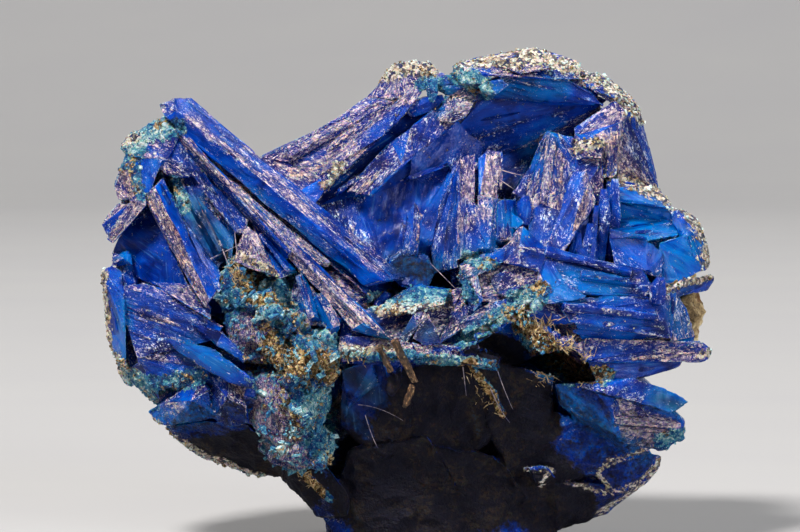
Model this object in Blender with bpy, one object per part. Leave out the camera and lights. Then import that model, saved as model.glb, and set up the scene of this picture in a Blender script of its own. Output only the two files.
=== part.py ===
"""Chalcanthite specimen: blue crystals grown together over a piece of brown matrix rock.

Metres, +Z up. The origin is the middle of the bounding box, on the surface that the specimen
stands on. The crystals face -Y, and the rough back of the matrix faces +Y.

Every crystal is laid out on a front elevation in millimetres: across from the middle, up from
the ground, and depth (minus is towards the front). The elevation is drawn in true perspective
from SIGHT_DISTANCE away and SIGHT_TILT above, so seen() turns a point of it into a real place.
"""

import math
import random

import bmesh
import bpy
from mathutils import Matrix, Vector

MM = 0.001
SIGHT_DISTANCE = 667.0  # mm from the eye to the middle of the elevation
SIGHT_TILT = math.radians(4.0)
SIGHT_MIDDLE = (-1.05, 41.1)  # where the elevation is looked at squarely, mm across and up
MIDDLE_HEIGHT = 41.4  # mm above the ground of that same point
GAP = 0.35  # mm left between two pieces that touch

CHAMFER = 0.62  # how far along a crystal's half width its two blunted corners start
LUMP_POINTS = 22
LUMP_SWELL = 0.9, 1.06  # the least and most that a corner of a lump stands out
FLAT_ANGLE = math.radians(1.5)  # faces nearer to coplanar than this are one face
CRYSTAL_SHARE, CRUST_SHARE = 0.64, 0.8  # of the triangles that joining makes, how many are kept


def seen(across, up, depth):
    """The real place, in mm, of a point of the front elevation that lies at this depth."""
    side, rise = across - SIGHT_MIDDLE[0], up - SIGHT_MIDDLE[1]
    ahead = SIGHT_DISTANCE * math.cos(SIGHT_TILT)
    drop = SIGHT_DISTANCE * math.sin(SIGHT_TILT)
    reach = (depth + ahead) / (ahead + rise * math.sin(SIGHT_TILT))
    return Vector((
        SIGHT_MIDDLE[0] + reach * side,
        depth,
        MIDDLE_HEIGHT + drop + reach * (rise * math.cos(SIGHT_TILT) - drop),
    ))


# ---------------------------------------------------------------- the kinds of shape

def hull(points):
    """A closed convex mesh around points in mm."""
    mesh = bmesh.new()
    for point in points:
        mesh.verts.new(point)
    made = bmesh.ops.convex_hull(mesh, input=mesh.verts)
    inside = {part for part in made["geom_interior"] + made["geom_unused"]
              if isinstance(part, bmesh.types.BMVert)}
    bmesh.ops.delete(mesh, geom=list(inside), context="VERTS")
    bmesh.ops.dissolve_limit(mesh, angle_limit=FLAT_ANGLE, verts=mesh.verts, edges=mesh.edges)
    bmesh.ops.recalc_face_normals(mesh, faces=mesh.faces)
    return mesh


def section(wide, thick):
    """A blade's cross-section: a slab with two blunted corners."""
    w, t = wide / 2, thick / 2
    return [
        (-w, -t * 0.3), (-w * CHAMFER, -t), (w, -t), (w, t * 0.3), (w * CHAMFER, t), (-w, t),
    ]


def prism(start, end, wide, thick, roll=0, slant=(0, 0), taper=1.0):
    """A straight crystal from start to end, given on the elevation.

    wide is what shows from the front when roll is 0, and thick goes back from there. slant tips
    the end face by mm along the axis for each mm across and back, and taper is the end's share
    of the full section.
    """
    a, b = seen(*start), seen(*end)
    axis = (b - a).normalized()
    sight = Vector((0, math.cos(SIGHT_TILT), -math.sin(SIGHT_TILT)))
    across = axis.cross(sight).normalized()
    back = across.cross(axis).normalized()
    if back.y < 0:
        across, back = -across, -back
    turn = Matrix.Rotation(math.radians(roll), 3, axis)
    across, back = turn @ across, turn @ back
    points = []
    for x, y in section(wide, thick):
        points.append(a + across * x + back * y)
        points.append(b + (across * x + back * y) * taper + axis * (slant[0] * x + slant[1] * y))
    return hull(points)


def slab(behind, *corners):
    """A crystal seen face on: the corners of its front face, and a smaller face behind."""
    middle = sum((Vector(corner) for corner in corners), Vector()) / len(corners)
    rear = [middle.lerp(Vector(corner), 0.9) + Vector((0, 0, behind)) for corner in corners[::2]]
    return hull([seen(*corner) for corner in [*corners, *rear]])


def blade(edges, behind):
    """A long crystal given by the edges that run along it, each from start to end."""
    corners = [corner for edge in edges for corner in edge]
    outer = [edges[0][0], edges[0][1], edges[-1][0], edges[-1][1]]
    rear = [(across, up, depth + behind) for across, up, depth in outer]
    return hull([seen(*corner) for corner in [*corners, *rear]])


def block(*corners):
    """A stout crystal, or one broken face of it, as the solid between its corners."""
    return hull([seen(*corner) for corner in corners])


def lump(middle, radii, seed, grow=0.0, points=LUMP_POINTS, swell=LUMP_SWELL):
    """An uneven boulder with flat faces: radii are its half sizes across, back and up."""
    chance = random.Random(seed)
    centre = seen(*middle)
    found = []
    for i in range(points):
        up = 1 - 2 * (i + 0.5) / points
        around = i * math.pi * (3 - math.sqrt(5))
        ring = math.sqrt(1 - up * up)
        size = chance.uniform(*swell)
        found.append(centre + Vector((
            ring * math.cos(around) * (radii[0] * size + grow),
            ring * math.sin(around) * (radii[1] * size + grow),
            up * (radii[2] * size + grow),
        )))
    return hull(found)


# ---------------------------------------------------------------- the crystals, group by group

def core():
    """The massive middle that every crystal is rooted in, open in front as a shallow hollow."""
    return [
        lump((4, 17, 4), (26, 12, 16), 1),
        lump((20, 16, 4), (16, 12, 12), 2),
        lump((-21, 25, 1), (15, 11, 12), 3),
        lump((-29, 42, 3), (12, 9, 16), 4),
        lump((30, 37, 1), (12, 12, 14), 5),
        lump((11, 52, 12), (26, 9, 16), 6),
        lump((18, 63, 8), (14, 8.5, 7), 7),
        lump((3, 32, -1), (22, 13, 9), 8),
        lump((-38, 34, 0), (5.4, 8, 11), 9),
        lump((-37, 52, 2), (6, 7.5, 9), 10),
        lump((14, 40.4, -7), (9, 8.6, 6), 11),
        lump((36, 46, 0), (6.6, 6.6, 6.4), 12),
        lump((23, 50, 1), (8, 9, 8), 13),
        lump((32, 19, -1), (8, 9, 7), 14),
        lump((-9, 37, -6), (9, 9, 6.4), 15),
        lump((-41.6, 38.6, -2), (2.6, 4.4, 5), 16),
        lump((-41, 27.6, -2), (2.4, 4.2, 5), 17),
        lump((-34.6, 21.8, -5), (3.4, 2.8, 4.5), 18),
        lump((-31.5, 17, -4), (5, 4, 3), 19),
        lump((28.8, 8.8, -2), (4, 3.5, 2.6), 20),
        lump((25.6, 67.8, -0.8), (4.6, 3.4, 1.9), 21),
    ]


def left_blades():
    """Long blades that lean down to the right across the left of the hollow."""
    return [
        blade([((-32.6, 66.3, -6), (-0.1, 39.2, -14.5)), ((-34.6, 64.6, -9), (-3.4, 38.9, -18)),
               ((-35, 62, -8), (-6.2, 38.1, -16))], 5),
        block((-37.3, 65.4, -7), (-35, 66.3, -7), (-32.6, 66.3, -6), (-31.5, 65.2, -6.5),
              (-34.6, 64.6, -9), (-36.3, 63.4, -8.5), (-34.5, 62, -8.2), (-34, 64, -1)),
        blade([((-34, 62, -5.4), (-6, 38.4, -13)), ((-34.5, 60.6, -6.6), (-5, 36, -15.4))], 5),
        prism((-28.4, 55.4, -7.4), (-12.2, 41.3, -15.4), 0.9, 2.6, roll=20),
        prism((-24.4, 54.6, -6.4), (-9.4, 41.6, -14.2), 0.7, 2.4, roll=20),
        blade([((-34.5, 61.5, -9.8), (-1.9, 29.8, -21.8)), ((-34.2, 60, -8.6), (-8.1, 31.7, -19.4)),
               ((-33.9, 60.6, -9.9), (-6.6, 32.6, -20.9))], 4.5),
        prism((-33.2, 59.6, -8.6), (-17.6, 42.6, -15.6), 1.0, 2.4, roll=-20),
        slab(5, (-31, 55.6, -7.6), (-27, 52.4, -9.6), (-23.6, 48, -12), (-25, 45.6, -12.6),
             (-26.8, 46.4, -11.4)),
        prism((-31.4, 55.2, -9.2), (-25.2, 46, -13.8), 0.9, 3.4, roll=20, taper=0.6),
        slab(6, (-35.4, 55, -6.6), (-31.4, 55, -7), (-25.6, 46.4, -11.4), (-26.4, 41, -12.6),
             (-29, 39, -12.4), (-34.6, 49, -8)),
        prism((-33.4, 52.4, -7), (-28, 42.6, -12.4), 1.3, 2.6, roll=-25),
        prism((-31.6, 51.4, -7.4), (-27.2, 43.4, -12.2), 0.9, 2.4, roll=25),
        slab(6, (-36.2, 58.6, -8.6), (-34.3, 61, -8.8), (-29.6, 56.2, -9.2), (-31.2, 54.6, -9),
             (-35, 54.2, -8.4), (-37.6, 56, -8)),
        blade([((-39.2, 51.3, -8.4), (-30.2, 34.9, -17.2)), ((-37.9, 53, -9.6), (-29.6, 36, -18.2)),
               ((-36.6, 54.4, -7.6), (-28.5, 37.2, -16.4))], 5),
        blade([((-36, 50.4, -7.8), (-28.3, 37.1, -15.6)), ((-34.2, 49, -8.6), (-27.2, 38.4, -15)),
               ((-33.4, 48.2, -7.4), (-27.6, 40, -13.4))], 4),
        block((-24.3, 47.2, -13.4), (-22.4, 45.9, -14.8), (-20.9, 42.8, -16.8), (-19.3, 39.5, -18.2),
              (-23.6, 40.7, -17.8), (-25.9, 41.8, -15.6), (-25.6, 44, -14.4), (-22.6, 43, -17.4),
              (-23, 44, -8), (-21, 41, -9)),
        slab(4, (-23.5, 48, -11.6), (-21.2, 45.6, -12.6), (-16.2, 40.2, -15), (-19.2, 39.2, -14.6),
             (-22, 43, -13)),
        prism((-21.6, 45.8, -13), (-17.2, 40.2, -16), 0.7, 2.6, roll=20),
        slab(5, (-16.6, 40.4, -14.8), (-9.8, 33.2, -18), (-10.8, 30.4, -17.6), (-15, 31, -16),
             (-17.6, 36, -15.4)),
        prism((-15.9, 39.6, -15.2), (-13.8, 33, -18), 1.4, 2.6, roll=20),
        prism((-13.4, 36.6, -16.4), (-10.8, 31.4, -19), 1.6, 2.6, roll=-20),
    ]


def far_left():
    """Short stacked blades and a tall plate on the left rim, with a glassy face between them."""
    return [
        slab(8, (-36.3, 63.4, -6.5), (-38.5, 62, -6), (-41, 61, -5), (-42.4, 59.8, -4),
             (-42.6, 58.7, -4), (-42, 57.6, -5), (-36, 57, -9.4), (-34, 60.6, -9.2)),
        slab(8, (-42, 57.9, -4.6), (-43.3, 55, -3.4), (-44, 53, -3.2), (-43.2, 51.1, -4),
             (-40.4, 50.8, -7), (-38.6, 52, -8.4), (-36.8, 57, -8.8)),
        slab(6, (-45.1, 45.2, -5.6), (-44.2, 44.5, -6.6), (-39.2, 50.2, -10.2),
             (-39.4, 52.3, -9.2), (-41.5, 51, -7.8)),
        slab(6, (-45.8, 47.3, -3.8), (-45, 45.5, -4.8), (-41.2, 50.4, -7.4), (-43.3, 50.4, -4.8),
             (-44.5, 48.9, -3.8)),
        slab(9, (-39, 50.8, -5), (-43.3, 45.4, -3.6), (-44.3, 43, -2.8), (-42.6, 40.2, -4),
             (-37.8, 38.2, -7), (-32.8, 38, -9.2), (-35.4, 44, -8)),
        block((-44.3, 41.1, -5), (-44.2, 43.2, -4), (-41.4, 43.4, -6), (-41.2, 41.2, -7),
              (-42.6, 42.3, -7.6), (-43, 42, 2)),
        slab(8, (-45.7, 40.5, -7.2), (-44.3, 41.1, -7.2), (-42.9, 40.5, -8.8), (-42.4, 36, -11.8),
             (-42.2, 31, -12.2), (-42.2, 25.4, -9), (-43.5, 26.9, -7), (-44.8, 30.6, -6),
             (-45.2, 36, -6.4)),
        slab(8, (-42.8, 38.2, -10.8), (-38.5, 38.4, -12), (-34, 36, -14), (-30, 33.2, -16),
             (-27.5, 32, -16.4), (-29, 30, -16), (-34, 29, -14.2), (-40.5, 27.2, -11.4),
             (-42.4, 33, -10.8)),
        block((-38.2, 38.8, -9.6), (-32.4, 38.3, -11), (-29.1, 34.8, -15), (-29.4, 33, -17.2),
              (-32.1, 34.7, -16.4), (-35.4, 36.8, -14.4), (-35, 37, -4), (-31, 35, -6)),
        block((-36.6, 30.5, -14.2), (-34.9, 30.1, -16), (-29.1, 28.8, -18.4), (-25, 25.6, -20),
              (-22.6, 23.6, -20), (-22.8, 22.6, -19.4), (-26.5, 23.3, -18.4),
              (-30.2, 26.2, -17.2), (-34.9, 28.4, -14.8), (-31, 27, -9), (-26, 24.5, -11)),
        block((-32.6, 32.6, -15.6), (-27.6, 31.4, -18.4), (-23.4, 27.2, -19.6),
              (-24.4, 26.4, -19), (-28.8, 29.1, -17.6), (-28, 30, -9)),
        slab(8, (-40.5, 27.4, -11), (-34, 29, -13.4), (-30, 26.3, -15), (-29.2, 23.6, -14.6),
             (-33, 23.4, -12.6), (-38, 22.6, -10), (-40.2, 24.4, -9)),
        slab(7, (-42.3, 25.2, -7.4), (-40.2, 23.5, -7.4), (-38.5, 21.4, -7.4), (-37, 20.8, -9.4),
             (-37.6, 24, -10.8), (-40.5, 26.6, -10.4)),
        block((-38.9, 19.2, -7), (-36, 20.6, -11), (-33, 23.1, -12.8), (-31, 24.6, -13.2),
              (-29.3, 22.6, -14.8), (-29, 18.4, -13.6), (-33, 17.2, -12), (-36.4, 16.8, -8.8),
              (-38.3, 17.6, -7), (-32.4, 20.9, -15), (-34, 20, 0), (-30, 21, 0)),
        block((-29.6, 24.4, -14), (-26.6, 25.2, -16), (-24, 20, -17), (-23.6, 17.2, -15.4),
              (-27, 16.4, -13.2), (-29.4, 18.2, -13), (-27, 21.2, -17.4), (-27, 21, -2)),
        block((-27, 26, -14), (-23.4, 25.4, -16.4), (-21.6, 20.6, -16), (-23.4, 17.6, -14),
              (-24.6, 21.6, -17.6), (-24, 21, -4)),
    ]


def upper_blades():
    """The two broad etched blades that rise to the right behind the hollow."""
    return [
        slab(7, (-22.6, 57.2, -4), (-18, 59, -3), (-15, 60.8, -2.4), (-11.4, 62.7, -1.8),
             (-10, 55, -6.4), (-13.9, 50.3, -7.6), (-17, 52, -7)),
        slab(7, (-13, 61.8, -2.2), (-8.8, 64.4, -1.2), (-5.8, 66.5, -0.6), (1.6, 67.4, -2.4),
             (-3.4, 61, -5), (-11, 53.8, -7)),
        slab(4, (-9.8, 58.8, -6.4), (1.4, 68.3, -2.8), (2.5, 67.4, -3.2), (-3, 61, -6.2),
             (-12, 53.2, -8.4), (-13.4, 54.6, -8)),
        prism((-17.8, 57.4, -4.8), (-8.2, 62.8, -2.8), 1.8, 2.2, roll=-20, taper=0.6),
        slab(7, (-5.9, 66.4, -0.8), (-3.8, 68.6, -0.6), (-2, 71.2, 0), (1.4, 71.7, 0.6),
             (3.7, 71.3, 0.6), (4.6, 70.3, 0), (4, 68.4, -2.4), (1.6, 67.2, -3.2), (-2, 66, -3)),
        slab(5, (-9.1, 52.2, -8.4), (-6.4, 55.4, -7), (-2.3, 59.9, -5.4), (0.5, 61.7, -4.8),
             (1.3, 57.8, -7), (-0.8, 56.4, -7.8), (-5.5, 51.4, -9.8)),
        slab(5, (-3.4, 58.9, -5.6), (0, 61.5, -4.8), (4.1, 64.6, -3.4), (7.2, 62.6, -3.6),
             (3.1, 58.9, -6), (0, 57, -7.2)),
        block((4.2, 64.2, -3.8), (5, 66, -3), (7.4, 67, -2.6), (9.6, 66.6, -3), (10.3, 65.4, -4),
              (9, 63.6, -5), (6.6, 62.6, -5), (5, 63, -4.8), (7, 64.8, -5.6), (7, 64, 4)),
        slab(7, (-14, 50.2, -5.4), (-12, 53.4, -4.4), (-3, 61.6, -1.6), (3, 66.6, 0),
             (4.6, 64, -1), (-3, 57, -3.4), (-9, 50.4, -5.4)),
        slab(8, (-13.6, 50, -5.6), (-6, 52, -5.6), (3, 58, -2.6), (6.8, 56.4, -3.4),
             (4.4, 48, -5), (3.4, 42, -7.6), (-3, 40, -9), (-8.6, 44, -8)),
        slab(7, (1, 59, -3.6), (7.2, 63, -1.4), (12, 62, 0.6), (11, 57, -1), (5, 53, -4.6),
             (0, 54, -5)),
        prism((6, 56.4, -3), (-0.2, 54.1, -6.6), 0.7, 2.4),
        prism((-6.4, 55.2, -4.6), (-10.4, 52.2, -6.8), 0.7, 2.4),
    ]


def top_wall():
    """The thick glassy wall along the top, under its pale crusted rim."""
    return [
        slab(10, (6, 60, -0.6), (8, 64, -1), (12, 67.4, -2.4), (18, 69, -3.2), (25, 68.6, -3),
             (30, 66, -2.6), (25, 61, 0), (19, 60, 1), (12, 57, 1)),
        slab(9, (8, 58.4, 0.6), (13, 57, 1.4), (20, 60.4, 1.4), (20, 51, 0), (14.6, 50, -1),
             (9, 52, 0.4)),
        slab(8, (7, 70.9, -4), (8.5, 71.7, -2.6), (12.5, 72.5, -1.6), (19, 73.8, -0.6),
             (23, 72.4, -1), (25.4, 71.9, -0.6), (26.8, 69.9, -2.4), (24, 68.8, -5.4),
             (18, 69.6, -6.6), (13.4, 69.6, -6.6), (9.5, 70.6, -5.4)),
        slab(8, (10, 68.4, -4.8), (14, 69.6, -5.8), (24, 69.2, -5), (28, 67, -4.6),
             (29.6, 65.2, -4.4), (24, 65, -3.6), (17, 66.6, -4), (12, 66, -3.8)),
        slab(8, (26.6, 69.9, -1.6), (29.3, 69.8, -0.4), (31, 68.5, 0), (33.9, 65.9, 0.6),
             (34.9, 64.2, 1.4), (33.2, 63.6, -3), (31, 66.2, -4.2), (27, 68, -4.6)),
        block((6.2, 69.9, -3.6), (7.2, 71.1, -3.4), (9.4, 70.9, -5.8), (13, 69.8, -7.2),
              (11.6, 68.4, -6.6), (8, 68.6, -5.4), (10, 70, 0)),
        block((4, 70.4, -0.6), (6, 69.9, -2.4), (9.4, 68.6, -4.6), (12.2, 66.9, -4.6),
              (11, 65.8, -3.8), (6.4, 66.6, -3.4), (3.6, 67.8, -2.8), (7, 68, 4)),
        block((2.4, 69.1, -3.4), (4.6, 69.2, -4), (4.6, 67, -5), (3.9, 65.6, -4.8),
              (3.2, 67, -3.4), (4, 68, 0)),
        block((10.6, 68, -6.6), (11.6, 68.7, -7.2), (14.5, 69.1, -7.4), (15.3, 68.3, -7.4),
              (13.6, 67, -7.2), (11.4, 66.8, -6.6), (13, 68, -1)),
        block((13, 71.4, -4.6), (16.6, 72.4, -4), (20.6, 72, -4.4), (22, 70.6, -5.8),
              (17, 70, -7.2), (18, 71, 0)),
        block((21, 71, -4.6), (25.4, 70.8, -3.4), (26.4, 69.2, -4.6), (22.4, 69, -6.2),
              (24, 70, 0)),
        block((28, 68.8, -3.2), (31, 67.8, -2.6), (33, 65.8, -2), (31.6, 66, -4.6),
              (28.4, 67.4, -5), (30, 67, 2)),
    ]


def right_towers():
    """Upright crystals that stand on the right of the hollow."""
    return [
        slab(7, (25, 61.9, -5.4), (28, 64, -5), (31, 66.1, -4.8), (33.1, 64.3, -5.6),
             (32.1, 62.8, -7), (31.4, 58, -8), (31.3, 54.6, -8.6), (29.6, 54.6, -8.4),
             (29.3, 58, -7.6), (25, 60.2, -6.6)),
        slab(7, (32.6, 64.2, -5.4), (34.9, 64.1, -0.6), (34.7, 61.7, -0.6), (35.9, 60.5, 0.4),
             (36.5, 58, 0.6), (37.4, 53.7, 0.6), (37.9, 52, -0.4), (34.9, 52.6, -4),
             (31.6, 54, -8), (31.8, 60, -7.4)),
        slab(7, (19.9, 59.6, -8), (21, 61.4, -7.6), (25, 60.6, -7), (25.4, 55, -9.4),
             (23, 49, -11.6), (18.4, 49.4, -11.6), (17.8, 51.4, -11), (18.2, 55.5, -9.4)),
        slab(5, (15.7, 52.1, -9.2), (18.2, 55.7, -8.4), (20.4, 53, -10.4), (18, 50.7, -10.8)),
        slab(7, (18.2, 50.2, -11.2), (23, 49.6, -11.8), (22.6, 45, -13.4), (20.4, 43.2, -14.2),
             (18.2, 46, -13)),
        prism((20.2, 50, -10.6), (21.6, 60.4, -7.4), 1.6, 2.4, roll=20),
        block((25, 61.2, -7.2), (28.4, 61, -7.4), (29.7, 58.8, -8.8), (29.4, 57, -9.6),
              (25.4, 57.2, -9.8), (27.4, 59.4, -9.4), (27, 59, -3)),
        slab(6, (25.4, 57.4, -8.8), (29.4, 57.2, -8.6), (29.3, 49.6, -10.4), (27, 49.6, -11),
             (25.2, 53, -10.4)),
        slab(4, (24.9, 55.4, -10.8), (26.8, 55.3, -11), (28.4, 50.7, -12.2), (23.5, 43, -15.8),
             (21.1, 43.9, -15.4), (23.5, 50, -13)),
        slab(5, (26.2, 50.4, -10.8), (28.7, 50.6, -10.6), (28.7, 42, -14.2), (25.8, 42, -14.6),
             (24.8, 45.4, -13.6)),
        prism((27.5, 41.6, -14), (28.2, 50, -11.4), 0.9, 2.4, roll=15),
        slab(7, (28.6, 57.4, -4.6), (31.6, 55, -5.4), (31, 40.6, -9), (28.2, 41.4, -9.4)),
    ]


def centre_towers():
    """Twin towers in the middle of the hollow, with a needle beside them."""
    return [
        slab(6, (8.1, 57.4, -8.8), (7.2, 56.3, -7.4), (6.2, 54.3, -6.6), (5.1, 51.2, -6.6),
             (4.4, 48.6, -7), (3.4, 43, -8.4), (3.8, 39.6, -10), (7.6, 41, -15),
             (8.2, 50, -12.2)),
        slab(6, (8.0, 57.4, -9.4), (10.15, 57.9, -9.4), (10.2, 50, -12.6), (10.2, 43.2, -15.6),
             (7.4, 42, -15.6), (8.1, 50, -12.8)),
        slab(6, (10.7, 57.2, -9), (12, 58.5, -8.6), (14.4, 58.3, -8.4), (13.7, 54, -10.6),
             (13.4, 50, -12.6), (10.7, 49, -13.2)),
        slab(6, (10, 56.4, -7.6), (10.9, 56.6, -7.6), (10.9, 48, -11.6), (10, 48, -11.6)),
        prism((9.3, 42.6, -15.2), (9.5, 50.6, -12.8), 2.6, 4.4, roll=14, slant=(0.5, 0.3)),
        prism((12, 43, -15.2), (12.4, 51.4, -12.2), 2.9, 4.4, roll=-12, slant=(0.2, 0.3)),
        prism((14.8, 44.4, -14.2), (14.2, 50.4, -11.8), 3.0, 4.4, roll=-26, slant=(-0.4, 0.3)),
        block((12.8, 50.2, -13.4), (14.8, 50.7, -12.6), (17.6, 47.6, -13), (16.4, 46.6, -14.2),
              (15, 47.2, -14.8), (12.8, 48.8, -14.6), (15, 49, -8)),
        block((1.1, 50.7, -10.6), (2.4, 48.8, -10.4), (1.9, 47.9, -11), (1.6, 42.6, -12.8),
              (-0.9, 42.6, -12.2), (-0.2, 46, -11.4), (0, 49, -10.8), (0.9, 46, -12.8),
              (0.6, 43, -5)),
        block((-0.7, 48, -9.8), (0.2, 47, -10.4), (0, 42.4, -11.4), (-1.8, 42.4, -10.6),
              (-1, 43, -5)),
        slab(7, (-2.6, 42.4, -11.4), (0, 43.7, -11.6), (3, 42.8, -12), (4.4, 40, -13.4),
             (2.8, 37.6, -15), (-0.8, 38, -15), (-3, 40, -13)),
        block((-4.6, 34.2, -17.4), (-2.8, 36, -16.4), (1.2, 38.4, -14.8), (6.6, 37.7, -15.4),
              (5.4, 35.4, -17.8), (3, 34.8, -18.8), (-4, 33.5, -18.4), (1, 36, -8)),
        slab(8, (-9.8, 33.8, -15.6), (-4.6, 34.4, -15.4), (3, 36, -14.6), (8.6, 38, -14.2),
             (9.6, 32.4, -16.4), (4, 29, -18), (-1, 28.6, -18), (-6, 29, -17.6),
             (-10.4, 29, -17)),
    ]


def right_boulder():
    """The stout glassy crystal on the right rim, broken into shell-like steps."""
    return [
        slab(6, (30, 53.6, -8.2), (31, 55.1, -6.6), (34, 53.7, -5.4), (37.9, 52.1, -3),
             (39, 51.2, -2.6), (39.8, 49.6, -4.4), (36, 50.4, -8.8), (30.2, 51, -10.8)),
        slab(6, (30.2, 51.4, -9.8), (39.4, 50, -4.6), (40, 47.6, -5), (30.4, 48.4, -8.2)),
        slab(7, (30.3, 48.9, -8), (40, 48, -4.6), (40.8, 45.6, -7.6), (35.8, 44.8, -11.6),
             (30.4, 46, -13.2)),
        block((30.2, 46.9, -12.8), (33.6, 46.3, -13.4), (36, 45.5, -13.2), (36.4, 44.7, -12.4),
              (30.4, 45.2, -14.8), (33, 46, -6)),
        slab(7, (30.3, 45.4, -13.8), (35.8, 45, -12.8), (38.6, 43, -11.8), (38.6, 39, -12.2),
             (36, 40.2, -13.6), (31.2, 41, -14.2)),
        slab(7, (37.8, 44.6, -11.4), (42.2, 46, -7.4), (44.4, 40.6, -8), (41, 38.6, -10.8),
             (37.6, 38, -12.2)),
        slab(6, (39.4, 49.6, -4.4), (41.8, 49.4, -3.4), (43.3, 48.1, -3), (44.6, 45.5, -3),
             (45.3, 42, -3.6), (45, 40.6, -5), (43.8, 40.2, -8.2), (42.2, 45, -8.2),
             (39.8, 47.6, -6.6)),
        block((37.6, 37, -12.6), (41, 38.8, -11.6), (45.9, 39.6, -5.6), (46.1, 38.8, -5.6),
              (45.3, 37.4, -6), (41, 36.4, -11.6), (42, 38, 1)),
    ]


def shelf():
    """The shelf across the middle: the floor of the hollow and the roof over the dark underside."""
    return [
        block((14, 43.8, -16), (16.5, 46.7, -14.2), (17.4, 47.1, -13.8), (18.9, 45.6, -14.6),
              (21.2, 43.2, -15.8), (20, 40.2, -18), (17, 41.4, -18.6), (14.4, 41.6, -18),
              (16.8, 44, -17.2), (17, 43, -6)),
        block((7.9, 41.3, -16.4), (9.6, 42.5, -16.4), (12.4, 43.7, -16), (14.8, 44, -16.2),
              (14.4, 41.4, -18.2), (11, 39.8, -18.8), (8.6, 39.2, -18.4), (11.6, 42, -18),
              (12, 41, -6)),
        block((7.9, 41.2, -16.6), (10.6, 39.8, -18.8), (11.4, 36, -19.8), (10, 34.4, -19.2),
              (8.6, 36.4, -18.4), (8, 39, -17.4), (9.8, 37.6, -19.8), (10, 38, -8)),
        slab(7, (10.8, 40.2, -17), (14.4, 42, -16.8), (18.6, 41.6, -17), (21, 39, -17.6),
             (16.4, 35.2, -18.4), (10.8, 35.8, -18)),
        block((12.4, 39.6, -17.6), (15, 40.6, -17.8), (17.6, 38.4, -19), (15.6, 36.2, -19.4),
              (13, 37, -19.2), (15, 38, -10)),
        slab(7, (20.2, 43.9, -15.2), (29, 41.6, -14.8), (33.5, 40.2, -14.8), (35.3, 40.6, -14.2),
             (38, 36.8, -14.6), (31, 36.2, -17), (25, 37.2, -18.6), (19.4, 38.8, -18.2)),
        prism((20.8, 43.4, -16), (33.6, 40.1, -15.2), 0.9, 1.8, roll=30),
        prism((26, 39.6, -17), (34.4, 38.4, -15.8), 1.4, 2.4, roll=-25, taper=0.7),
        block((19.4, 36.4, -18.8), (20.5, 35.3, -19.6), (24, 36, -20), (26.8, 36.5, -19),
              (24, 38.2, -18.8), (21, 37.9, -18.8), (23, 37, -12)),
        slab(7, (22.6, 35.4, -18.8), (28, 36.4, -17.8), (31, 36.8, -17), (38.1, 36.1, -14.6),
             (39.6, 37.1, -13.2), (39.4, 30.2, -14.8), (31, 31.4, -18), (24.4, 32.8, -19.6)),
        prism((23.4, 35.2, -19.4), (37.6, 33.6, -15.4), 1.3, 2.0, roll=22),
        slab(6, (38.2, 36.2, -14), (39.6, 37.2, -12.6), (40.5, 37.2, -11.8), (41.8, 35.1, -10.8),
             (42.6, 32.3, -10.4), (43.1, 30.6, -10.8), (39.6, 29.8, -14.6)),
        slab(7, (15.6, 37, -18.6), (20.4, 39, -18), (24.6, 35.6, -18.6), (25, 32.6, -18.8),
             (20, 32, -17.8), (16.4, 33.6, -18)),
        slab(6, (25, 32.8, -18), (39.5, 30.6, -13.6), (43.2, 30.8, -9.8), (42.6, 28.6, -10.6),
             (26.6, 29.4, -15.8)),
        slab(5, (24.6, 29.4, -17.2), (27, 30.3, -16.8), (44.2, 29.7, -12.6), (45.7, 28.4, -12),
             (45, 27, -12.2), (43.9, 26.7, -12.6), (26.4, 26.7, -17.6)),
        slab(6, (27, 27.2, -15.4), (41.5, 27.2, -11.4), (41, 26, -11.2), (38.3, 25, -11.8),
             (34, 24, -13.4), (28.4, 23.2, -14.8)),
        block((-1.2, 30.2, -20), (-0.2, 29.4, -20.2), (3, 33.6, -19), (2.4, 35, -18),
              (1, 34, -18.4), (1.4, 32, -20.2), (1, 31, -15)),
        block((0.9, 30.3, -20.6), (2.6, 29.2, -21), (5.4, 29.3, -20.8), (4.6, 31.4, -20),
              (3.2, 34, -18.6), (1.9, 32.4, -19.6), (3, 30, -14)),
        block((-10.2, 30.6, -18.4), (-5.4, 30.4, -19.6), (0.8, 29.6, -20.4), (8.4, 28.8, -20),
              (14.6, 27.4, -18), (14, 26, -18), (8, 26.2, -20), (1, 27, -20.6), (-6, 27, -20),
              (-10, 26.6, -18.4), (2, 30, -8), (-8, 29, -8), (12, 29, -8)),
        block((-10, 25.4, -15.4), (-5.4, 27.4, -18), (-4, 23.4, -15.4), (-9, 19.6, -12.6),
              (-6, 24, -2)),
        block((-3.6, 26.4, -20), (-3, 21.8, -19.6), (-2.2, 21.0, -19.4), (-0.3, 23.6, -19.6),
              (-0.6, 27.4, -20), (-1.8, 24.4, -20.6), (-2, 26.4, -12)),
        block((7.6, 32.4, -19.2), (8.4, 30.4, -19.8), (13.4, 34.2, -19.4), (20.2, 36.4, -18.8),
              (19.6, 37.6, -18.4), (13, 36, -18.6), (12, 34, -12)),
    ]


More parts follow.
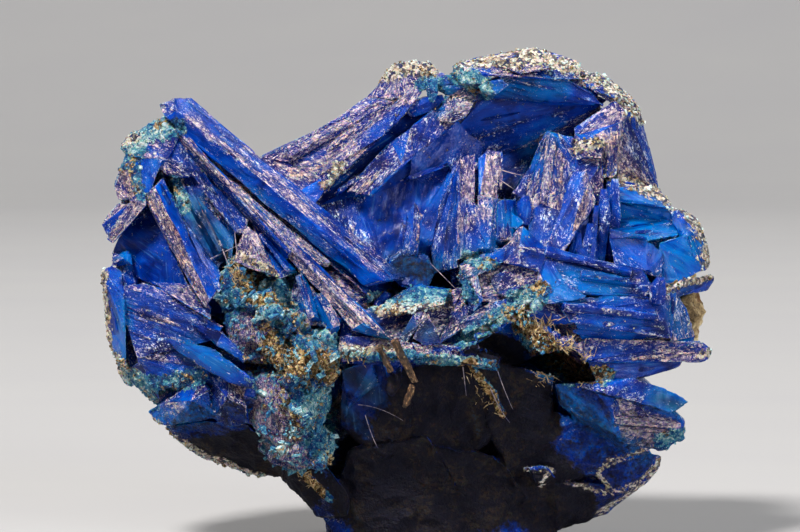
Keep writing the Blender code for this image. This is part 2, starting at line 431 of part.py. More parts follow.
def lower_right():
    """Crystals that fan out down the right side, and the corner under them."""
    return [
        block((24, 23.4, -16), (28, 24, -16), (34, 24.3, -14.8), (37.9, 23.1, -13.2),
              (42.6, 20.7, -10.6), (40, 19, -12.4), (34.9, 20.4, -15.4), (31, 21.5, -17),
              (28, 22.4, -17.2), (32, 22, -7), (38, 21, -6)),
        slab(7, (30.5, 21.6, -15.4), (34.9, 20.7, -14.6), (40.7, 19.2, -11.6), (41.8, 18, -11),
             (41.7, 15.8, -10.2), (38.3, 13.3, -9.4), (33, 14.2, -12.2), (30.4, 16.2, -14)),
        prism((30.6, 18.2, -13.6), (41, 17.2, -10.6), 1.7, 2.6, roll=20, taper=0.7),
        slab(8, (22.2, 23.4, -15.4), (28, 23, -16.4), (31, 21.6, -15.8), (31, 15.8, -14),
             (36.8, 12.8, -9.8), (33, 13, -10.2), (26, 17.6, -12.4), (22.6, 20, -13.8)),
        slab(8, (28, 10.2, -7.6), (31.2, 12.4, -8.8), (35, 13.3, -8.6), (38, 12.6, -5.4),
             (37.9, 10.9, -4), (36.2, 9.8, -3.6), (34.9, 8, -3.4), (31.5, 6.8, -5.6)),
        slab(10, (20, 20, -10), (26, 18, -11.4), (34, 13.2, -9), (29, 9.8, -7), (20, 7.6, -6.6),
             (12, 11, -8.6)),
        slab(10, (21.5, 1.6, -2.6), (23.5, 3, -2.8), (26, 3.4, -1.8), (30, 3.7, -0.8),
             (32, 5.5, -1.2), (35, 8.1, -2.6), (31.5, 7.6, -5.8), (26, 8.8, -7),
             (16, 8, -7.8), (12, 1.5, -5)),
        block((17.4, 11, -10.6), (21, 11.2, -10.4), (22.4, 9.4, -9.8), (19.6, 7.4, -9.4),
              (18.6, 9.6, -11.2), (20, 9, -4)),
    ]


def underside():
    """Broad plain faces that slope back to the foot."""
    return [
        slab(9, (-9.6, 28, -14), (1, 28, -15), (3, 17, -12.6), (-3, 12, -11.2), (-10, 17, -11.6)),
        slab(9, (0, 28, -15), (13, 27, -15), (16, 19, -11.4), (9, 12, -10), (1, 14, -12)),
        slab(9, (12, 27, -14.4), (22, 24.6, -13.6), (22, 14, -9.6), (15, 10.6, -9.4),
             (12, 18, -12.4)),
        slab(9, (-8.6, 13.6, -11), (3, 15.6, -12.6), (7.6, 7.4, -9.2), (-2, 1.6, -6.6),
             (-12.8, 3.6, -6.2)),
        slab(9, (3, 14.6, -12.2), (13.6, 12.6, -10.4), (18.6, 6, -7), (11, 0.6, -4.6),
             (2, 4, -8)),
        slab(9, (13, 12, -9.6), (22, 12, -8.6), (24, 5, -5.4), (16, 1, -4)),
        slab(9, (-36.4, 16.9, -6), (-33.5, 14.3, -4), (-28, 12.2, -3.6), (-23, 9.6, -3.6),
             (-20, 9.7, -4), (-18.7, 9, -5), (-18.6, 13, -10), (-24, 17.2, -12),
             (-30, 17.8, -10.4)),
        slab(8, (-18.9, 9, -6), (-16.4, 6.9, -6), (-14.4, 4.8, -6.4), (-13.4, 3, -6.4),
             (-9, 3.6, -9.4), (-8.4, 6.4, -10.8), (-13, 12.4, -12.6), (-19, 13.4, -11)),
        block((-9.4, -1.5, -6), (0, -1.5, -8), (15, -1.5, -7), (21, -1.5, -3), (21, -1.5, 8),
              (12, -1.5, 17), (-4, -1.5, 17), (-11, -1.5, 8), (-12.6, 3, -5), (23, 3.4, -2.6),
              (12, 8, -8.6), (-6, 8, -9.4), (-12, 9, 8), (20, 9, 8), (4, 9, 17)),
    ]


# ---------------------------------------------------------------- the rock and the crust

# (middle, radii across, back and up, seed)
MATRIX_LUMPS = [
    ((-4, 40, 14), (20, 10, 19), 61),
    ((-21, 34, 13), (15, 9.5, 12), 62),
    ((19, 35, 15), (17, 10, 14), 63),
    ((24, 51, 13), (15, 9.5, 14), 64),
    ((6, 57, 14), (15, 8.5, 11), 65),
    ((-20, 49, 10), (13, 8, 10), 66),
    ((6, 15, 12), (22, 10, 18), 67),
    ((-15, 24, 11), (13, 9, 11), 68),
    ((4, 27, 17), (17, 8.5, 10), 69),
    ((28, 20, 8), (10, 8, 11), 70),
    ((36, 37, 4), (8, 7.5, 12), 71),
    ((41.2, 42.6, 2), (3.4, 5, 6.4), 72),
    ((42.3, 34, -1), (2.5, 5, 5), 73),
    ((38.6, 25.4, -1), (2.8, 5, 2.4), 74),
]
MATRIX_SWELL = 0.8, 1.08

# (middle, radii across, back and up, seed)
CRUST_LUMPS = [
    ((-25.6, 37.6, -12.2), (3.2, 4, 5.4), 81),
    ((-22, 31.4, -13), (6, 5, 5.4), 82),
    ((-14.6, 28, -15), (5.6, 5, 4.8), 83),
    ((-17.8, 20.8, -13), (6.6, 5.4, 6.8), 84),
    ((-16.4, 14.4, -10.4), (6.2, 4.8, 3.8), 85),
    ((-19.4, 36.4, -11.6), (4.4, 4, 3.8), 86),
]
CRUST_POINTS = 16

# Paths that grains follow: (points, how far grains stray, half size, how many, seed)
CRUST_PATHS = [
    ([(-26, 41.6, -14), (-24.8, 36, -16), (-21.6, 33.4, -17.4)], 0.9, 1.3, 9, 91),
    ([(-22.6, 35.6, -16), (-18, 32, -18), (-12.4, 29, -19)], 1.6, 1.5, 11, 92),
    ([(-21.6, 29.6, -17.4), (-17, 26.6, -18.4), (-11.4, 25.4, -19)], 1.6, 1.6, 10, 93),
    ([(-19.6, 23.4, -17), (-15, 20, -17.6), (-13, 16, -15.6)], 2.2, 1.6, 10, 94),
    ([(-20.6, 17.4, -13.6), (-17.4, 13.6, -13.8), (-12.8, 13, -13.4)], 1.4, 1.5, 8, 95),
]
LEDGE_PATHS = [
    ([(-10, 28, -19), (-6, 28, -20.6), (1, 27.8, -21), (8, 27.6, -20.6)], 0.35, 1.0, 13, 96),
    ([(8, 28.4, -20.2), (11.6, 30.6, -20), (15, 33.4, -19.6), (20, 35, -19)], 0.5, 1.2, 10, 97),
    ([(17.6, 32.6, -18.4), (21, 31, -19), (24.4, 27.6, -18.8)], 1.2, 1.7, 8, 98),
    ([(22.4, 25.2, -17), (27.6, 24.8, -17)], 0.5, 1.4, 4, 99),
    ([(11.4, 28.4, -18.4), (12.6, 24.6, -17.4), (14.6, 20, -15.4)], 0.5, 1.3, 7, 100),
]
GRAIN_POINTS = 8

# (start, end, width, thickness): brown slivers lodged in the crust at the shelf's edge
SPLINTERS = [
    ((-4.3, 28.9, -22.6), (-2.4, 25.4, -21.6), 1.0, 0.8),
    ((-1.9, 29.9, -23.4), (1.2, 23.6, -21.4), 1.2, 0.9),
    ((0.8, 23.0, -21.2), (-0.3, 20.0, -19.6), 0.8, 0.7),
]


def matrix(grow=0.0):
    return [lump(middle, radii, seed, grow, swell=MATRIX_SWELL)
            for middle, radii, seed in MATRIX_LUMPS]


def strewn(paths, grow=0.0):
    """Angular grains strewn along each path, close enough to run into one another."""
    grains = []
    for path, stray, size, count, seed in paths:
        chance = random.Random(seed)
        legs = [(Vector(a), Vector(b)) for a, b in zip(path, path[1:])]
        length = sum((b - a).length for a, b in legs)
        for i in range(count):
            along = (i + 0.5) / count * length
            for a, b in legs:
                if along <= (b - a).length:
                    break
                along -= (b - a).length
            spot = a + (b - a).normalized() * along
            spot += Vector([chance.uniform(-stray, stray) for axis in range(3)])
            radii = [size * chance.uniform(0.7, 1.25) for axis in range(3)]
            grains.append(lump(spot, radii, seed * 100 + i, grow, GRAIN_POINTS))
    return grains


def crust(grow=0.0):
    base = [lump(middle, radii, seed, grow, CRUST_POINTS) for middle, radii, seed in CRUST_LUMPS]
    return base + strewn(CRUST_PATHS, grow)


# ---------------------------------------------------------------- joining and cutting

def as_object(name, mesh):
    """A bmesh in mm as an object in metres."""
    data = bpy.data.meshes.new(name)
    bmesh.ops.scale(mesh, vec=(MM, MM, MM), verts=mesh.verts)
    mesh.to_mesh(data)
    mesh.free()
    made = bpy.data.objects.new(name, data)
    bpy.context.scene.collection.objects.link(made)
    return made


def combine(target, shapes, operation):
    """Applies one exact Boolean between target and every shape, which are then used up."""
    group = bpy.data.collections.new("shapes")
    bpy.context.scene.collection.children.link(group)
    for shape in shapes:
        bpy.context.scene.collection.objects.unlink(shape)
        group.objects.link(shape)
    boolean = target.modifiers.new(operation.lower(), "BOOLEAN")
    boolean.operation = operation
    boolean.operand_type = "COLLECTION"
    boolean.collection = group
    boolean.solver = "EXACT"
    bpy.context.view_layer.update()
    result = bpy.data.meshes.new_from_object(target.evaluated_get(
        bpy.context.evaluated_depsgraph_get()))
    target.modifiers.clear()
    target.data = result
    for shape in shapes:
        bpy.data.objects.remove(shape)
    bpy.data.collections.remove(group)


def fuse(name, meshes):
    """One solid out of overlapping shapes."""
    first, *others = [as_object(name, mesh) for mesh in meshes]
    combine(first, others, "UNION")
    return first


def flatten_foot(target):
    """Cuts off what lies below the ground, so that the specimen stands on a flat foot."""
    mesh = bmesh.new()
    side = 0.2
    bmesh.ops.create_cube(mesh, size=side, matrix=Matrix.Translation((0, 0, -side / 2)))
    bmesh.ops.scale(mesh, vec=(1 / MM,) * 3, verts=mesh.verts)
    combine(target, [as_object("ground", mesh)], "DIFFERENCE")


def islands(mesh):
    """The separate closed skins of a bmesh, as lists of faces."""
    left = set(mesh.faces)
    found = []
    while left:
        skin, edge = [], [left.pop()]
        while edge:
            face = edge.pop()
            skin.append(face)
            for side in face.edges:
                for other in side.link_faces if len(side.link_faces) == 2 else ():
                    if other in left:
                        left.remove(other)
                        edge.append(other)
        found.append(skin)
    return found


def keep_outer_skin(mesh):
    """Fills the voids that were closed in between crystals, and drops loose crumbs."""
    skins = sorted(islands(mesh), key=lambda skin: -sum(face.calc_area() for face in skin))
    bmesh.ops.delete(mesh, geom=[f for skin in skins[1:] for f in skin], context="FACES")


def simplify(target, share):
    """Collapses the slivers that a union leaves where faces cross, down to this share."""
    decimate = target.modifiers.new("simplify", "DECIMATE")
    decimate.ratio = share
    bpy.context.view_layer.update()
    result = bpy.data.meshes.new_from_object(target.evaluated_get(
        bpy.context.evaluated_depsgraph_get()))
    target.modifiers.clear()
    target.data = result


def finish(target, colour, roughness, share=1.0):
    mesh = bmesh.new()
    mesh.from_mesh(target.data)
    keep_outer_skin(mesh)
    bmesh.ops.dissolve_limit(mesh, angle_limit=FLAT_ANGLE / 3, verts=mesh.verts, edges=mesh.edges)
    bmesh.ops.triangulate(mesh, faces=mesh.faces)
    mesh.to_mesh(target.data)
    mesh.free()
    if share < 1:
        simplify(target, share)
    material = bpy.data.materials.new(target.name)
    material.diffuse_color = (*colour, 1)
    material.use_nodes = True
    shader = material.node_tree.nodes["Principled BSDF"]
    shader.inputs["Base Color"].default_value = (*colour, 1)
    shader.inputs["Roughness"].default_value = roughness
    shader.inputs["Metallic"].default_value = 0.0
    target.data.materials.clear()
    target.data.materials.append(material)


def centre_on_origin(pieces):
    """Moves every piece so that the middle of the bounding box stands over the origin."""
    corners = [vertex.co for piece in pieces for vertex in piece.data.vertices]
    shift = Vector((
        -(min(c.x for c in corners) + max(c.x for c in corners)) / 2,
        -(min(c.y for c in corners) + max(c.y for c in corners)) / 2,
        0,
    ))
    for piece in pieces:
        piece.data.transform(Matrix.Translation(shift))
    print("centred by", [round(s / MM, 3) for s in shift], "mm")


def splinter_room():
    return [
        as_object("room", prism(start, end, wide + 2 * GAP, thick + 2 * GAP, roll=25))
        for start, end, wide, thick in SPLINTERS
    ]


def build():
    for old in list(bpy.data.objects):
        bpy.data.objects.remove(old)

    crystals = fuse("chalcanthite_crystals", [
        *core(), *left_blades(), *far_left(), *upper_blades(), *top_wall(), *right_towers(),
        *centre_towers(), *right_boulder(), *shelf(), *lower_right(), *underside(),
        *strewn(LEDGE_PATHS),
    ])
    splinters = [
        as_object(f"brown_splinter_{i}", prism(start, end, wide, thick, roll=25, taper=0.8))
        for i, (start, end, wide, thick) in enumerate(SPLINTERS, 1)
    ]
    rock = fuse("matrix_rock", matrix())
    green = fuse("green_crust", crust())
    combine(green, splinter_room(), "DIFFERENCE")
    combine(crystals, [as_object("room", shape) for shape in matrix(GAP)]
            + [as_object("room", shape) for shape in crust(GAP)]
            + splinter_room(), "DIFFERENCE")

    flatten_foot(crystals)
    flatten_foot(rock)
    finish(crystals, (0.01, 0.09, 0.60), 0.35, CRYSTAL_SHARE)
    finish(rock, (0.42, 0.31, 0.18), 0.9)
    finish(green, (0.16, 0.40, 0.38), 0.85, CRUST_SHARE)
    for splinter in splinters:
        finish(splinter, (0.36, 0.22, 0.09), 0.8)
    centre_on_origin([crystals, rock, green, *splinters])


build()
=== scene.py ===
"""The looks of the chalcanthite specimen: etched blue crystals on a brown matrix, with green crust.

Everything is in metres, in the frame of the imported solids. Places on the specimen are given on
its front elevation, in millimetres across from its middle and up from the ground.
"""

import itertools
import math
import random

import bmesh
import bpy
import numpy as np
from mathutils import Matrix, Vector
from mathutils.bvhtree import BVHTree
from mathutils.kdtree import KDTree


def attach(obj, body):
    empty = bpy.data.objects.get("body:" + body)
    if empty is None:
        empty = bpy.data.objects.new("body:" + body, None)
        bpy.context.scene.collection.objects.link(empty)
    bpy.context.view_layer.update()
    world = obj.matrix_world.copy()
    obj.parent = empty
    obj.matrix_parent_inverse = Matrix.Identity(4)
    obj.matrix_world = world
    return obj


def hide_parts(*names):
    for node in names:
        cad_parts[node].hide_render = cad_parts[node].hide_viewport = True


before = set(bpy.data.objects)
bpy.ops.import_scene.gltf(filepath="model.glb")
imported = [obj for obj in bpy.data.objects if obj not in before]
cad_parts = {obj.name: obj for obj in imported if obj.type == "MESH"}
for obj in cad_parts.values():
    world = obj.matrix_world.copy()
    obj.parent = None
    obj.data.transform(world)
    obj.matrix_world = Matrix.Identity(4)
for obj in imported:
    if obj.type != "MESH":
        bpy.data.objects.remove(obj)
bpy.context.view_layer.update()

# ---------------------------------------------------------------- camera, floor and light
# A plain pale sweep under soft studio light: one large lamp above the left shoulder that rakes
# the crystal faces, a wide weak one from the right and a strip behind that rims the top.

MM = 0.001
SIGHT_DISTANCE = 667.0
SIGHT_TILT = math.radians(4.0)
SIGHT_MIDDLE = (-1.05, 41.1)  # mm across and up, where the elevation is looked at squarely
SIGHT_CENTRE = Vector((-1.044, -0.671, 41.4))  # that same point in the frame, mm
LENS, FILM = 200.0, 36.0

sight = Vector((0, math.cos(SIGHT_TILT), -math.sin(SIGHT_TILT)))
upward = Vector((0, math.sin(SIGHT_TILT), math.cos(SIGHT_TILT)))
eye = SIGHT_CENTRE - sight * SIGHT_DISTANCE

camera = bpy.data.objects.new("camera", bpy.data.cameras.new("camera"))
camera.data.lens = LENS
camera.data.sensor_width = FILM
camera.data.clip_start = 0.01
camera.location = eye * MM
camera.rotation_euler = (math.radians(90) - SIGHT_TILT, 0, 0)
bpy.context.scene.collection.objects.link(camera)
bpy.context.scene.camera = camera
bpy.context.scene.view_settings.view_transform = "Standard"

SWEEP_HALF, SWEEP_FRONT, SWEEP_BACK, SWEEP_BEND, SWEEP_HIGH = 2.0, -1.6, 0.9, 0.5, 1.6
BEND_STEPS = 16


class Wire:
    """One output of a node. Wires add, subtract and multiply; wire["Name"] is another output."""

    def __init__(self, socket):
        self.socket, self.tree = socket, socket.id_data

    def __getitem__(self, output):
        return Wire(self.socket.node.outputs[output])

    def __add__(self, other):
        return add(self.tree, "ShaderNodeMath", {0: self, 1: other}, operation="ADD")

    def __sub__(self, other):
        return add(self.tree, "ShaderNodeMath", {0: self, 1: other}, operation="SUBTRACT")

    def __rsub__(self, other):
        return add(self.tree, "ShaderNodeMath", {0: other, 1: self}, operation="SUBTRACT")

    def __mul__(self, other):
        kind = "ShaderNodeVectorMath" if isinstance(other, tuple) else "ShaderNodeMath"
        return add(self.tree, kind, {0: self, 1: other}, operation="MULTIPLY")

    def __abs__(self):
        return add(self.tree, "ShaderNodeMath", {0: self}, operation="ABSOLUTE")


def add(tree, kind, links=None, **settings):
    """The first output of a new node, with its sockets linked or set."""
    node = tree.nodes.new(kind)
    for name, value in settings.items():
        setattr(node, name, value)
    for name, value in (links or {}).items():
        if isinstance(value, Wire):
            tree.links.new(value.socket, node.inputs[name])
        else:
            node.inputs[name].default_value = value
    return Wire(node.outputs[0])


def noise(vector, scale, detail=2.0, roughness=0.5, distortion=0.0):
    """Cloudy noise from 0 to 1."""
    return add(vector.tree, "ShaderNodeTexNoise", {"Vector": vector, "Scale": scale, "Detail": detail,
               "Roughness": roughness, "Distortion": distortion})["Fac"]


def mixed(factor, *colours):
    """A colour between two colours: each is a wire or its red, green and blue."""
    a, b = (colour if isinstance(colour, Wire) else (*colour, 1) for colour in colours)
    return add(factor.tree, "ShaderNodeMix", {0: factor, 6: a, 7: b}, data_type="RGBA")[2]


def new_material(name):
    """A material with nodes: (material, its node tree, its Principled shader)."""
    material = bpy.data.materials.new(name)
    material.use_nodes = True
    return material, material.node_tree, material.node_tree.nodes["Principled BSDF"]


profile = [(SWEEP_FRONT, 0.0), (SWEEP_BACK, 0.0)]
for i in range(1, BEND_STEPS + 1):
    turn = math.radians(90) * i / BEND_STEPS
    profile.append((SWEEP_BACK + SWEEP_BEND * math.sin(turn), SWEEP_BEND * (1 - math.cos(turn))))
profile.append((SWEEP_BACK + SWEEP_BEND, SWEEP_HIGH))
floor_points = [(side * SWEEP_HALF, y, z) for y, z in profile for side in (-1, 1)]
floor_quads = [(2 * i, 2 * i + 1, 2 * i + 3, 2 * i + 2) for i in range(len(profile) - 1)]
floor_mesh = bpy.data.meshes.new("floor")
floor_mesh.from_pydata(floor_points, [], floor_quads)
floor_mesh.shade_smooth()
floor = bpy.data.objects.new("floor", floor_mesh)
bpy.context.scene.collection.objects.link(floor)

paper, tree, shader = new_material("sweep_paper")
tint = mixed(noise(add(tree, "ShaderNodeTexCoord")["Generated"], 60), (0.27, 0.27, 0.28), (0.29, 0.29, 0.29))
tree.links.new(tint.socket, shader.inputs["Base Color"])
shader.inputs["Roughness"].default_value = 0.8
floor_mesh.materials.append(paper)

world = bpy.data.worlds.new("studio")
world.use_nodes = True
world.node_tree.nodes["Background"].inputs["Color"].default_value = (0.75, 0.8, 0.9, 1)
world.node_tree.nodes["Background"].inputs["Strength"].default_value = 0.12
bpy.context.scene.world = world


def lamp(name, place, size, watts, colour):
    """A soft rectangular lamp aimed at the specimen's middle."""
    light = bpy.data.lights.new(name, "AREA")
    light.shape = "RECTANGLE"
    light.size, light.size_y = size
    light.energy = watts
    light.color = colour
    lit = bpy.data.objects.new(name, light)
    lit.location = place
    aim = Vector((0, 0, 0.04)) - Vector(place)
    lit.rotation_euler = aim.to_track_quat("-Z", "Y").to_euler()
    bpy.context.scene.collection.objects.link(lit)


lamp("key", place=(-0.50, -0.68, 1.22), size=(0.26, 0.26), watts=44.0, colour=(1.0, 0.96, 0.92))
lamp("fill", place=(1.1, -1.2, 0.5), size=(0.7, 0.7), watts=17.0, colour=(0.92, 0.95, 1.0))
lamp("rim", place=(0.25, 0.75, 1.1), size=(0.9, 0.3), watts=14.0, colour=(1.0, 0.98, 0.95))

# ---------------------------------------------------------------- the blue crystals
# Copper sulphate grown as long blades, towers and stout blocks that share one massive root.
# Grown faces are etched to a frost of pits and ridges along the crystal, broken ones are glassy,
# and pale copper salts have crusted the rim and the hollows where the crystals meet. The frost's
# pale flecks and edge lines are partly painted glints and highlights, thin places carry a painted
# glow, and the underside and the recesses below the ledge carry painted shade.

FINE, MIDDLING, COARSE = 0.52, 1.0, 2.6  # mm, longest triangle side in front, elsewhere, hidden
FLAT = math.radians(3)  # faces nearer to coplanar than this belong to one crystal face
SHARP = math.radians(24)  # crystal faces that turn more than this meet at a standing edge
CREASE = math.radians(38)  # the relief is shaded smooth below this angle
LOOKS = 14  # directions in which a face looks for open air
FARTHEST = 60.0  # mm, how far it looks
SEALED, BARELY_OPEN = 0.02, 0.05  # the share of open air up to which a face is hidden, or hardly seen
SIDES = [0, 1, 1, 2, 2, 0]  # the ends of a triangle's three sides
DRAWN_OUT = (0.22, 1, 1)  # how the etching runs along a crystal
SCATTER = 40  # mm, how far apart the patterns of two crystal faces may start
WANDER = 0.7  # mm, how far the finishes' borders stray
ROUNDING = 14  # rounds of smoothing on the shaded root and on the rock
# mm, heights of the skin's relief: growth steps, ridges and pits on frosted faces, steps and
# swell on glassy ones, then crust, pale rim and shaded root, and chips off the edges
FROST_STEP, FROST_RIDGE, FROST_PIT, GLASS_STEP, GLASS_SWELL = 0.19, 0.10, 0.2, 0.14, 0.06
CRUST_CREST, CRUST_LUMP, CRUST_SUNK, RIM_LUMP, RIM_GRAIN, RIM_SUNK = 0.6, 0.2, 0.4, 0.35, 0.2, 0.05
ROOT_SWELL, ROOT_CREST, ROOT_GRAIN, ROOT_SUNK, CHIP = 0.9, 0.55, 0.14, 0.4, 0.6


def solid_arrays(node):
    """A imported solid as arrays: points in mm, triangles, and the crystal face of each triangle."""
    mesh = bmesh.new()
    mesh.from_mesh(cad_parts[node].data)
    bmesh.ops.remove_doubles(mesh, verts=mesh.verts, dist=1e-6)
    bmesh.ops.triangulate(mesh, faces=mesh.faces)
    mesh.faces.ensure_lookup_table()
    mesh.normal_update()
    label = [-1] * len(mesh.faces)
    facets = 0
    for face in mesh.faces:
        if label[face.index] >= 0:
            continue
        label[face.index] = facets
        queue = [face]
        while queue:
            here = queue.pop()
            for edge in here.edges:
                for other in edge.link_faces:
                    if label[other.index] < 0 and face.normal.angle(other.normal, 3) < FLAT:
                        label[other.index] = facets
                        queue.append(other)
        facets += 1
    points = np.array([vert.co for vert in mesh.verts]) / MM
    faces = np.array([[vert.index for vert in face.verts] for face in mesh.faces])
    mesh.free()
    return points, faces, np.array(label)


def refine(points, faces, label, longest):
    """Halves every side over its triangles' limit, until none is: the new points, faces, labels."""
    while True:
        ends = np.sort(faces[:, SIDES].reshape(-1, 2), axis=1)
        key = ends[:, 0] * len(points) + ends[:, 1]
        keys, first, where = np.unique(key, return_index=True, return_inverse=True)
        side = ends[first]
        length = np.linalg.norm(points[side[:, 0]] - points[side[:, 1]], axis=1)
        limit = np.full(len(keys), np.inf)
        np.minimum.at(limit, where, np.repeat(longest, 3))
        cut = length > limit
        if not cut.any():
            return points, faces, label, longest
        number = np.full(len(keys), -1)
        number[cut] = len(points) + np.arange(cut.sum())
        points = np.vstack([points, points[side[cut]].mean(axis=1)])
        halves = number[where].reshape(-1, 3)
        made, kept = [], []
        index = np.arange(len(faces))
        for pattern in itertools.product((False, True), repeat=3):
            rows = ((halves >= 0) == pattern).all(axis=1)
            (a, b, c), (d, e, f), own = faces[rows].T, halves[rows].T, index[rows]
            new = {
                (False, False, False): [(a, b, c)],
                (True, False, False): [(a, d, c), (d, b, c)],
                (False, True, False): [(b, e, a), (e, c, a)],
                (False, False, True): [(c, f, b), (f, a, b)],
                (True, True, False): [(d, b, e), (a, d, e), (a, e, c)],
                (False, True, True): [(e, c, f), (b, e, f), (b, f, a)],
                (True, False, True): [(f, a, d), (c, f, d), (c, d, b)],
                (True, True, True): [(a, d, f), (d, b, e), (f, e, c), (d, e, f)],
            }[pattern]
            for corners in new:
                made.append(np.stack(corners, axis=1))
                kept.append(own)
        faces, kept = np.vstack(made), np.concatenate(kept)
        label, longest = label[kept], longest[kept]


def face_normals(points, faces):
    """Area-weighted normals of triangles."""
    a, b, c = points[faces[:, 0]], points[faces[:, 1]], points[faces[:, 2]]
    return np.cross(b - a, c - a)


def unit(vectors):
    """The vectors at length 1."""
    return vectors / np.maximum(np.linalg.norm(vectors, axis=1, keepdims=True), 1e-12)


def corner_sum(faces, values, count):
    """The sum at each point of the vectors that the triangles' corners hold."""
    total = np.zeros((count, 3))
    for corner in range(3):
        for axis in range(3):
            total[:, axis] += np.bincount(faces[:, corner], values[:, corner, axis], count)
    return total


def vertex_normals(points, faces):
    """Unit normals of points."""
    normal = np.repeat(face_normals(points, faces)[:, None], 3, axis=1)
    return unit(corner_sum(faces, normal, len(points)))


def elevation(points):
    """Where points in mm show on the front elevation: arrays of mm across and mm up."""
    off = points - np.array(SIGHT_CENTRE)
    reach = SIGHT_DISTANCE / (off @ np.array(sight) + SIGHT_DISTANCE)
    return off[:, 0] * reach + SIGHT_MIDDLE[0], off @ np.array(upward) * reach + SIGHT_MIDDLE[1]


def openness(points, faces):
    """For each triangle, the share of directions in front of it that meet open air."""
    normals = unit(face_normals(points, faces))
    middles = points[faces].mean(axis=1) + normals * 0.05
    side = unit(np.cross(normals, (0.31, 0.52, 0.79)))
    other = np.cross(normals, side)
    golden = math.pi * (3 - math.sqrt(5))
    found = np.zeros(len(faces))
    for i in range(LOOKS):
        lift = 0.15 + 0.8 * (i + 0.5) / LOOKS
        ring = math.sqrt(1 - lift * lift)
        way = normals * lift + (side * math.cos(i * golden) + other * math.sin(i * golden)) * ring
        for j in range(len(faces)):
            if solid_tree.ray_cast(Vector(middles[j]), Vector(way[j]), FARTHEST)[0] is None:
                found[j] += 1
    return found / LOOKS


def scrambled(cell, seed):
    """A random whole number up to 65535 for each cell of a grid."""
    mixed = cell[:, 0] * 73856093 ^ cell[:, 1] * 19349663 ^ cell[:, 2] * 83492791 ^ seed * 2654435
    mixed = (mixed ^ mixed >> 13) * 1274126177 & 0xFFFFFFFF
    mixed = (mixed ^ mixed >> 16) * 2246822519 & 0xFFFFFFFF
    return mixed >> 8 & 0xFFFF


def lattice(points, seed):
    """Smooth random heights from -1 to 1 that rise and fall about a unit apart."""
    cell = np.floor(points).astype(np.int64)
    part = points - cell
    ease = part * part * (3 - 2 * part)
    total = np.zeros(len(points))
    for corner in itertools.product((0, 1), repeat=3):
        weight = np.prod(np.where(corner, ease, 1 - ease), axis=1)
        total += weight * (scrambled(cell + corner, seed) / 32767.5 - 1)
    return total


def rough(points, size, seed, octaves=3):
    """Fractal heights from about -1 to 1, whose largest bumps are size mm wide."""
    total, gain = 0, 1
    for i in range(octaves):
        total = total + lattice(points / size * 2 ** i, seed + 17 * i) * gain
        gain *= 0.55
    return total / 1.4


def lumps(points, size, seed):
    """Heights from 0 to 1 of rounded lumps packed against each other, size mm apart."""
    spots = points / size
    cell = np.floor(spots).astype(np.int64)
    near = np.full(len(points), 9.0)
    for step in itertools.product((-1, 0, 1), repeat=3):
        at = cell + step
        gap = 0
        for axis in range(3):
            off = at[:, axis] + scrambled(at, seed + axis) / 65535 - spots[:, axis]
            gap = gap + off * off
        near = np.minimum(near, gap)
    return np.clip(1 - near * 1.6, 0, 1)


def stairs(height, tread=0.35):
    """Whole steps up a height, with short ramps between them."""
    whole = np.floor(height)
    part = np.clip((height - whole - 0.5) / tread + 0.5, 0, 1)
    return whole + part


def crumpled(points, size, seed):
    """Sharp crests and rounded hollows, from 0 to 1."""
    return (1 - np.abs(rough(points, size, seed, 2))) ** 2


def zone(across, up, lines, blur=0.5):
    """1 along broad lines of the elevation, fading to 0: each is (radius, point, point, ...)."""
    found = np.zeros(len(across))
    for radius, *line in lines:
        stops = line if len(line) > 1 else line * 2
        for (x0, v0), (x1, v1) in zip(stops, stops[1:]):
            dx, dv = x1 - x0, v1 - v0
            length = max(dx * dx + dv * dv, 1e-9)
            share = np.clip(((across - x0) * dx + (up - v0) * dv) / length, 0, 1)
            gap = np.hypot(across - x0 - share * dx, up - v0 - share * dv)
            found = np.maximum(found, np.clip((radius - gap) / (radius * blur), 0, 1))
    return found


def neighbour_mean(values, faces):
    """The mean of the rows of values over each point's neighbours."""
    ends = faces[:, SIDES].reshape(-1, 2)
    ends = np.vstack([ends, ends[:, ::-1]])
    count = np.maximum(np.bincount(ends[:, 0], minlength=len(values)), 1)
    return np.stack([np.bincount(ends[:, 0], column[ends[:, 1]], len(values)) / count
                     for column in values.T], axis=1)


def relax(points, faces, weight, rounds):
    """Rounds the surface over where weight is 1, by moving points towards their neighbours."""
    for _ in range(rounds):
        points = points + (neighbour_mean(points, faces) - points) * weight[:, None] * 0.5
    return points


def tree_of(spots):
    """A search tree for the nearest of some spots."""
    tree = KDTree(len(spots))
    for i, spot in enumerate(spots):
        tree.insert(spot, i)
    tree.balance()
    return tree


def joined(parts):
    """Several (points, triangles) as one."""
    starts = np.cumsum([0] + [len(points) for points, _ in parts[:-1]])
    return (np.vstack([points for points, _ in parts]),
            np.vstack([faces + start for (_, faces), start in zip(parts, starts)]))


cad_points, cad_faces, cad_label = solid_arrays("chalcanthite_crystals")
solid_points, solid_faces = joined([solid_arrays(node)[:2] for node in (
    "chalcanthite_crystals", "matrix_rock", "green_crust")])
solid_tree = BVHTree.FromPolygons([Vector(point) for point in solid_points], solid_faces.tolist())

# the axis of each crystal face is the long way of its outline
facet_count = cad_label.max() + 1
facet_normal = np.zeros((facet_count, 3))
np.add.at(facet_normal, cad_label, face_normals(cad_points, cad_faces))
facet_area = np.linalg.norm(facet_normal, axis=1) / 2
facet_normal = unit(facet_normal)
facet_axis = np.zeros((facet_count, 3))
for facet in range(facet_count):
    corners = cad_points[np.unique(cad_faces[cad_label == facet])]
    spread = corners - corners.mean(axis=0)
    facet_axis[facet] = np.linalg.svd(spread, full_matrices=False)[2][0]
facet_side = np.cross(facet_normal, facet_axis)
facet_chance = np.random.default_rng(5).random((facet_count, 4))

